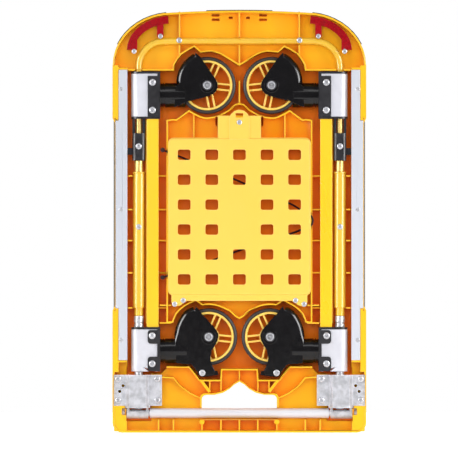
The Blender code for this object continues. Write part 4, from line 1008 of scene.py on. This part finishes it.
@dataclass
class Hood:
    """A caster's hood: two cheeks, a crown with a soft shoulder, and a ringed neck."""

    end: End
    side: Side
    shoulder: float = 0.0105
    cheek: float = 0.0053
    room: float = 0.052
    neck: float = 0.0215

    def outline(self) -> tuple[list, list]:
        """Return the smooth outboard back and the rest of the outline, from the wheel's centre."""
        if self.end is End.FRONT:
            back = [(54.5, -1), (54, 12), (51, 24), (45, 36), (36, 46.5), (28.5, 53), (21, 57)]
            rest = [(17, 54.5), (12, 49), (-15.6, 9.5), (-18.2, 3), (-18.4, -3), (-16.5, -9), (-11.2, -15),
                    (-4, -18.5), (35.4, -28.5), (50, -36), (57, -38), (57, -10)]
        else:
            back = [(60.5, 4), (59, 13), (55.5, 23.5), (50, 34.5), (42.5, 44.5), (33, 50.5), (23, 53.5)]
            rest = [(19, 50), (15, 44), (-13.7, 12), (-16.8, 5), (-17, 1), (-15.5, -6), (-12.8, -12),
                    (-5.6, -23), (-3, -38), (-4.7, -48), (-11, -60), (-8.4, -66), (5, -67.5), (14, -69),
                    (30, -48),
                    (57, -46), (58, -20)]
        return smooth_line(back), [back[-1]] + rest

    def build(self) -> None:
        """Make the hood and fit it in place of its node."""
        tail = "%s_%s" % (self.end.value, self.side.word)
        node = "caster_hood_" + tail
        wheel = middle("tyre_" + tail)
        s = self.side.value
        (_, near, _), (_, far, _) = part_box(node)
        back, rest = self.outline()

        def there(points: Sequence[tuple[float, float]]) -> list[tuple[float, float]]:
            """Put outline points round this wheel."""
            return [(wheel.x + s * x / 1000, wheel.z + z / 1000) for x, z in points]

        near, far = wheel.y - HOOD_HALF, wheel.y + HOOD_HALF
        hood = Piece.slab("hood", there(back + rest), near, far)
        ends = there(back)

        def on_back(a: Vector, b: Vector) -> bool:
            """Tell whether an edge runs along the outboard back of a face."""
            return abs(a.y - b.y) < TOUCH and all(
                any(abs(p.x - x) < TOUCH and abs(p.z - z) < TOUCH for x, z in ends) for p in (a, b))

        hood.round_where(on_back, self.shoulder, 7)
        hood.rounded(0.0008, 2, 40, clamp=False)
        gap = HOOD_HALF - self.cheek
        hood.less(Piece.turned("room", [(self.room, -gap), (self.room, gap)], 72, wheel))
        self.add_neck(hood, node, wheel)
        if self.end is End.REAR:
            pivot = wheel + Vector((s * PEDAL_PIVOT[0], 0, PEDAL_PIVOT[1]))
            hood.less(Piece.block("slot", pivot - Vector((0.035, 0.0075, 0.02)),
                                  pivot + Vector((0.035, 0.0075, 0.011))))
        hood.done(BLACK_GLOSS, body_of(node), [node], 40)
        self.add_boss(tail, wheel, near)

    def add_neck(self, hood: Piece, node: str, wheel: Vector) -> None:
        """Join the round neck, its rings and its stem to a hood.

        Args:
            hood: The hood.
            node: The hood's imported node, whose box ends with the stem.
            wheel: The wheel's centre.
        """
        s = self.side.value
        low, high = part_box(node)
        tip = low[0] if s < 0 else high[0]
        end = abs(tip) - 0.012
        start = abs(wheel.x) + 0.038
        neck_z = FRAME["neck_heights"][self.end]
        r = self.neck
        ring = end - 0.0085
        profile = [(r - 0.001, start), (r, start + 0.001), (r, ring), (r - 0.0016, ring + 0.0002),
                   (r - 0.0016, ring + 0.0021), (r, ring + 0.0024), (r, ring + 0.0044),
                   (r - 0.0016, ring + 0.0047), (r - 0.0016, ring + 0.0062), (r - 0.0004, ring + 0.0064),
                   (r - 0.0004, end)]
        centre = (0, wheel.y, neck_z)
        if s < 0:
            profile = [(radius, -place) for radius, place in reversed(profile)]
        neck = Piece.turned("neck", profile, 64, centre, Axis.X)
        stem = sorted((s * (end - 0.002), s * (end + 0.0115)))
        hood.plus(neck, Piece.turned("stem", [(0.006, stem[0]), (0.006, stem[1])], 24, centre, Axis.X))

    def add_boss(self, tail: str, wheel: Vector, near: float) -> None:
        """Add the low ring round the axle and the axle's bolt head.

        Args:
            tail: The end and side in the node names.
            wheel: The wheel's centre.
            near: The depth coordinate of the cheek's face.
        """
        body = body_of("caster_hood_" + tail)
        at = (wheel.x, near, wheel.z)
        ring = [(0.0131, -0.0004), (0.0131, 0.0004), (0.0125, 0.0009), (0.0117, 0.0009), (0.0111, 0.0004),
                (0.0108, -0.0002)]
        washer = [(0.0092, -0.0003), (0.0092, 0.0006), (0.0088, 0.001), (0.0078, 0.001)]
        Piece.turned("axle_ring_" + tail, ring, 64, at).done(BLACK_GLOSS, body)
        Piece.turned("axle_washer_" + tail, washer, 48, at).done(BLACK_SATIN, body)
        refine("axle_bolt_" + tail, STEEL, 0.0005)
        Screw(0.0073, 0.0014, 0.003).fit("axle_head_" + tail, at, body)


@dataclass
class Caster:
    """One swivel caster: its hood, axle bolt and wheel."""

    end: End
    side: Side

    def build(self) -> None:
        """Make the caster's pieces."""
        tail = "%s_%s" % (self.end.value, self.side.word)
        Hood(self.end, self.side).build()
        Wheel().fit(tail, self.side)
        if self.end is End.REAR:
            wheel = middle("tyre_" + tail)
            refine("brake_pedal_" + self.side.word, BLACK_GLOSS, 0.001)
            place = wheel + Vector((self.side.value * PEDAL_PIVOT[0], -HOOD_HALF, PEDAL_PIVOT[1]))
            body = body_of("caster_hood_" + tail)
            Screw(0.0055, 0.0014, 0.0024).fit("pedal_screw_" + self.side.word, place, body)


@dataclass
class Handle:
    """The U handle, its grip, arms, cross shaft and gears."""

    def build(self) -> None:
        """Make the handle's pieces."""
        refine("handle_tube", CHROME, 0.0)
        refine("handle_grip", GRIP_FOAM, 0.0008)
        refine("cross_shaft", SHAFT_METAL, 0.0004)
        for side in Side:
            refine("handle_arm_" + side.word, CASTING, 0.0008)
            refine("shaft_gear_" + side.word, STEEL, 0.0003)


@dataclass
class Studio:
    """A pale floor, soft light and a long lens square to the underside."""

    picture_width: float = 0.8031
    distance: float = 12.0
    sensor: float = 0.036
    floor_radius: float = 1.3
    fill_colour: tuple = (0.95, 0.97, 1.0, 1)
    fill_strength: float = 0.24
    centre: Place = (-0.0182, -0.0327, 0.3639)

    def build(self) -> None:
        """Make the floor, the world, the lights and the camera."""
        self.floor()
        self.world()
        for side in Side:
            word, s = side.word, side.value
            self.soft_box(word + "_fill", self.around(14 * s, 9, 3.4), (1.3, 1.3), 27.0, False)
            self.soft_box(word + "_strip", self.around(62 * s, 10, 1.9), (0.3, 1.3), 9.0)
            self.soft_box(word + "_gloss", self.around(58 * s, 12, 1.9), (0.9, 1.2), 42.0, True, False)
        self.soft_box("top_fill", self.around(0, 48, 2.4), (1.6, 0.7), 9.0)
        self.soft_box("back_fill", self.around(150, 30, 2.6), (1.8, 1.4), 44.0)
        self.camera()

    def around(self, azimuth: float, elevation: float, distance: float) -> Place:
        """Return a place round the trolley; azimuth 0 is the camera's side and 90 is +X."""
        a, e = math.radians(azimuth), math.radians(elevation)
        x, y, z = self.centre
        return (x + distance * math.sin(a) * math.cos(e), y - distance * math.cos(a) * math.cos(e),
                z + distance * math.sin(e))

    def floor(self) -> None:
        """Make a pale round floor that the trolley stands on."""
        clear_selection()
        bpy.ops.mesh.primitive_circle_add(vertices=96, radius=self.floor_radius, fill_type="NGON",
                                          location=(0, 0, -FLOOR_GAP))
        floor = bpy.context.active_object
        floor.name = "floor"
        material = bpy.data.materials.new("floor_paper")
        sheet = NodeSheet(material)
        cloud = sheet.ramp(sheet.noise(3.0), 0.3, 0.7)
        sheet.wire(sheet.mix(cloud, (0.88, 0.88, 0.88), (0.92, 0.92, 0.92)), "Base Color")
        sheet.shader.inputs["Roughness"].default_value = 0.9
        sheet.shader.inputs["Emission Color"].default_value = (1, 1, 1, 1)
        sheet.shader.inputs["Emission Strength"].default_value = 0.5
        floor.data.materials.append(material)

    def world(self) -> None:
        """Make a white surround that lights the trolley more softly than it shows."""
        world = bpy.data.worlds.new("studio")
        bpy.context.scene.world = world
        world.use_nodes = True
        tree = world.node_tree
        tree.nodes.clear()
        seen, fill = (tree.nodes.new("ShaderNodeBackground") for _ in range(2))
        seen.inputs["Color"].default_value = (1, 1, 1, 1)
        fill.inputs["Color"].default_value = self.fill_colour
        fill.inputs["Strength"].default_value = self.fill_strength
        path = tree.nodes.new("ShaderNodeLightPath")
        mixed = tree.nodes.new("ShaderNodeMixShader")
        out = tree.nodes.new("ShaderNodeOutputWorld")
        tree.links.new(path.outputs["Is Camera Ray"], mixed.inputs[0])
        tree.links.new(fill.outputs[0], mixed.inputs[1])
        tree.links.new(seen.outputs[0], mixed.inputs[2])
        tree.links.new(mixed.outputs[0], out.inputs["Surface"])
        bpy.context.scene.view_settings.view_transform = "Standard"

    def soft_box(self, name: str, place: Place, size: tuple[float, float], power: float,
                 mirrored: bool = True, lights: bool = True) -> None:
        """Hang one soft box that faces the middle of the trolley.

        Args:
            name: The lamp's name.
            place: Where it hangs.
            size: Its width and height.
            power: Its power in watts.
            mirrored: Whether glossy surfaces show it.
            lights: Whether matt surfaces are lit by it.
        """
        light = bpy.data.lights.new(name, "AREA")
        light.shape = "RECTANGLE"
        light.size, light.size_y = size
        light.energy = power
        lamp = bpy.data.objects.new(name, light)
        lamp.visible_glossy = mirrored
        lamp.visible_diffuse = lights
        lamp.location = place
        lamp.rotation_euler = (Vector(self.centre) - Vector(place)).to_track_quat("-Z", "Y").to_euler()
        bpy.context.scene.collection.objects.link(lamp)

    def camera(self) -> None:
        """Set up the camera."""
        data = bpy.data.cameras.new("camera")
        data.sensor_width = self.sensor * 1000
        data.lens = data.sensor_width * self.distance / self.picture_width
        data.clip_end = 100.0
        camera = bpy.data.objects.new("camera", data)
        camera.location = Vector(self.centre) - Vector((0, self.distance, 0))
        camera.rotation_euler = (math.pi / 2, 0, 0)
        bpy.context.scene.collection.objects.link(camera)
        bpy.context.scene.camera = camera


def main() -> None:
    """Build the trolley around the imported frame, then the studio."""
    logging.basicConfig(level=logging.INFO, format="%(name)s %(message)s")
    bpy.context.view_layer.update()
    assemblies: list = [Deck(), Cover(), Frame(), Legs(), Handle()]
    assemblies += [Caster(end, side) for end in End for side in Side]
    assemblies.append(Studio())
    for assembly in assemblies:
        LOG.info("building %s", type(assembly).__name__)
        assembly.build()
    for pattern in (*Screw.patterns.values(), *Wheel.patterns.values()):
        bpy.data.objects.remove(pattern.obj)
    clear_selection()


if __name__ == "__main__":
    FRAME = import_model()
    FRAME["neck_heights"] = {
        end: next(joint["pos_m"][2] for joint in FRAME["record"]["behaviour"]["joints"]
                  if joint["name"] == "caster_%s_left_swivel" % end.value) for end in End}
    main()
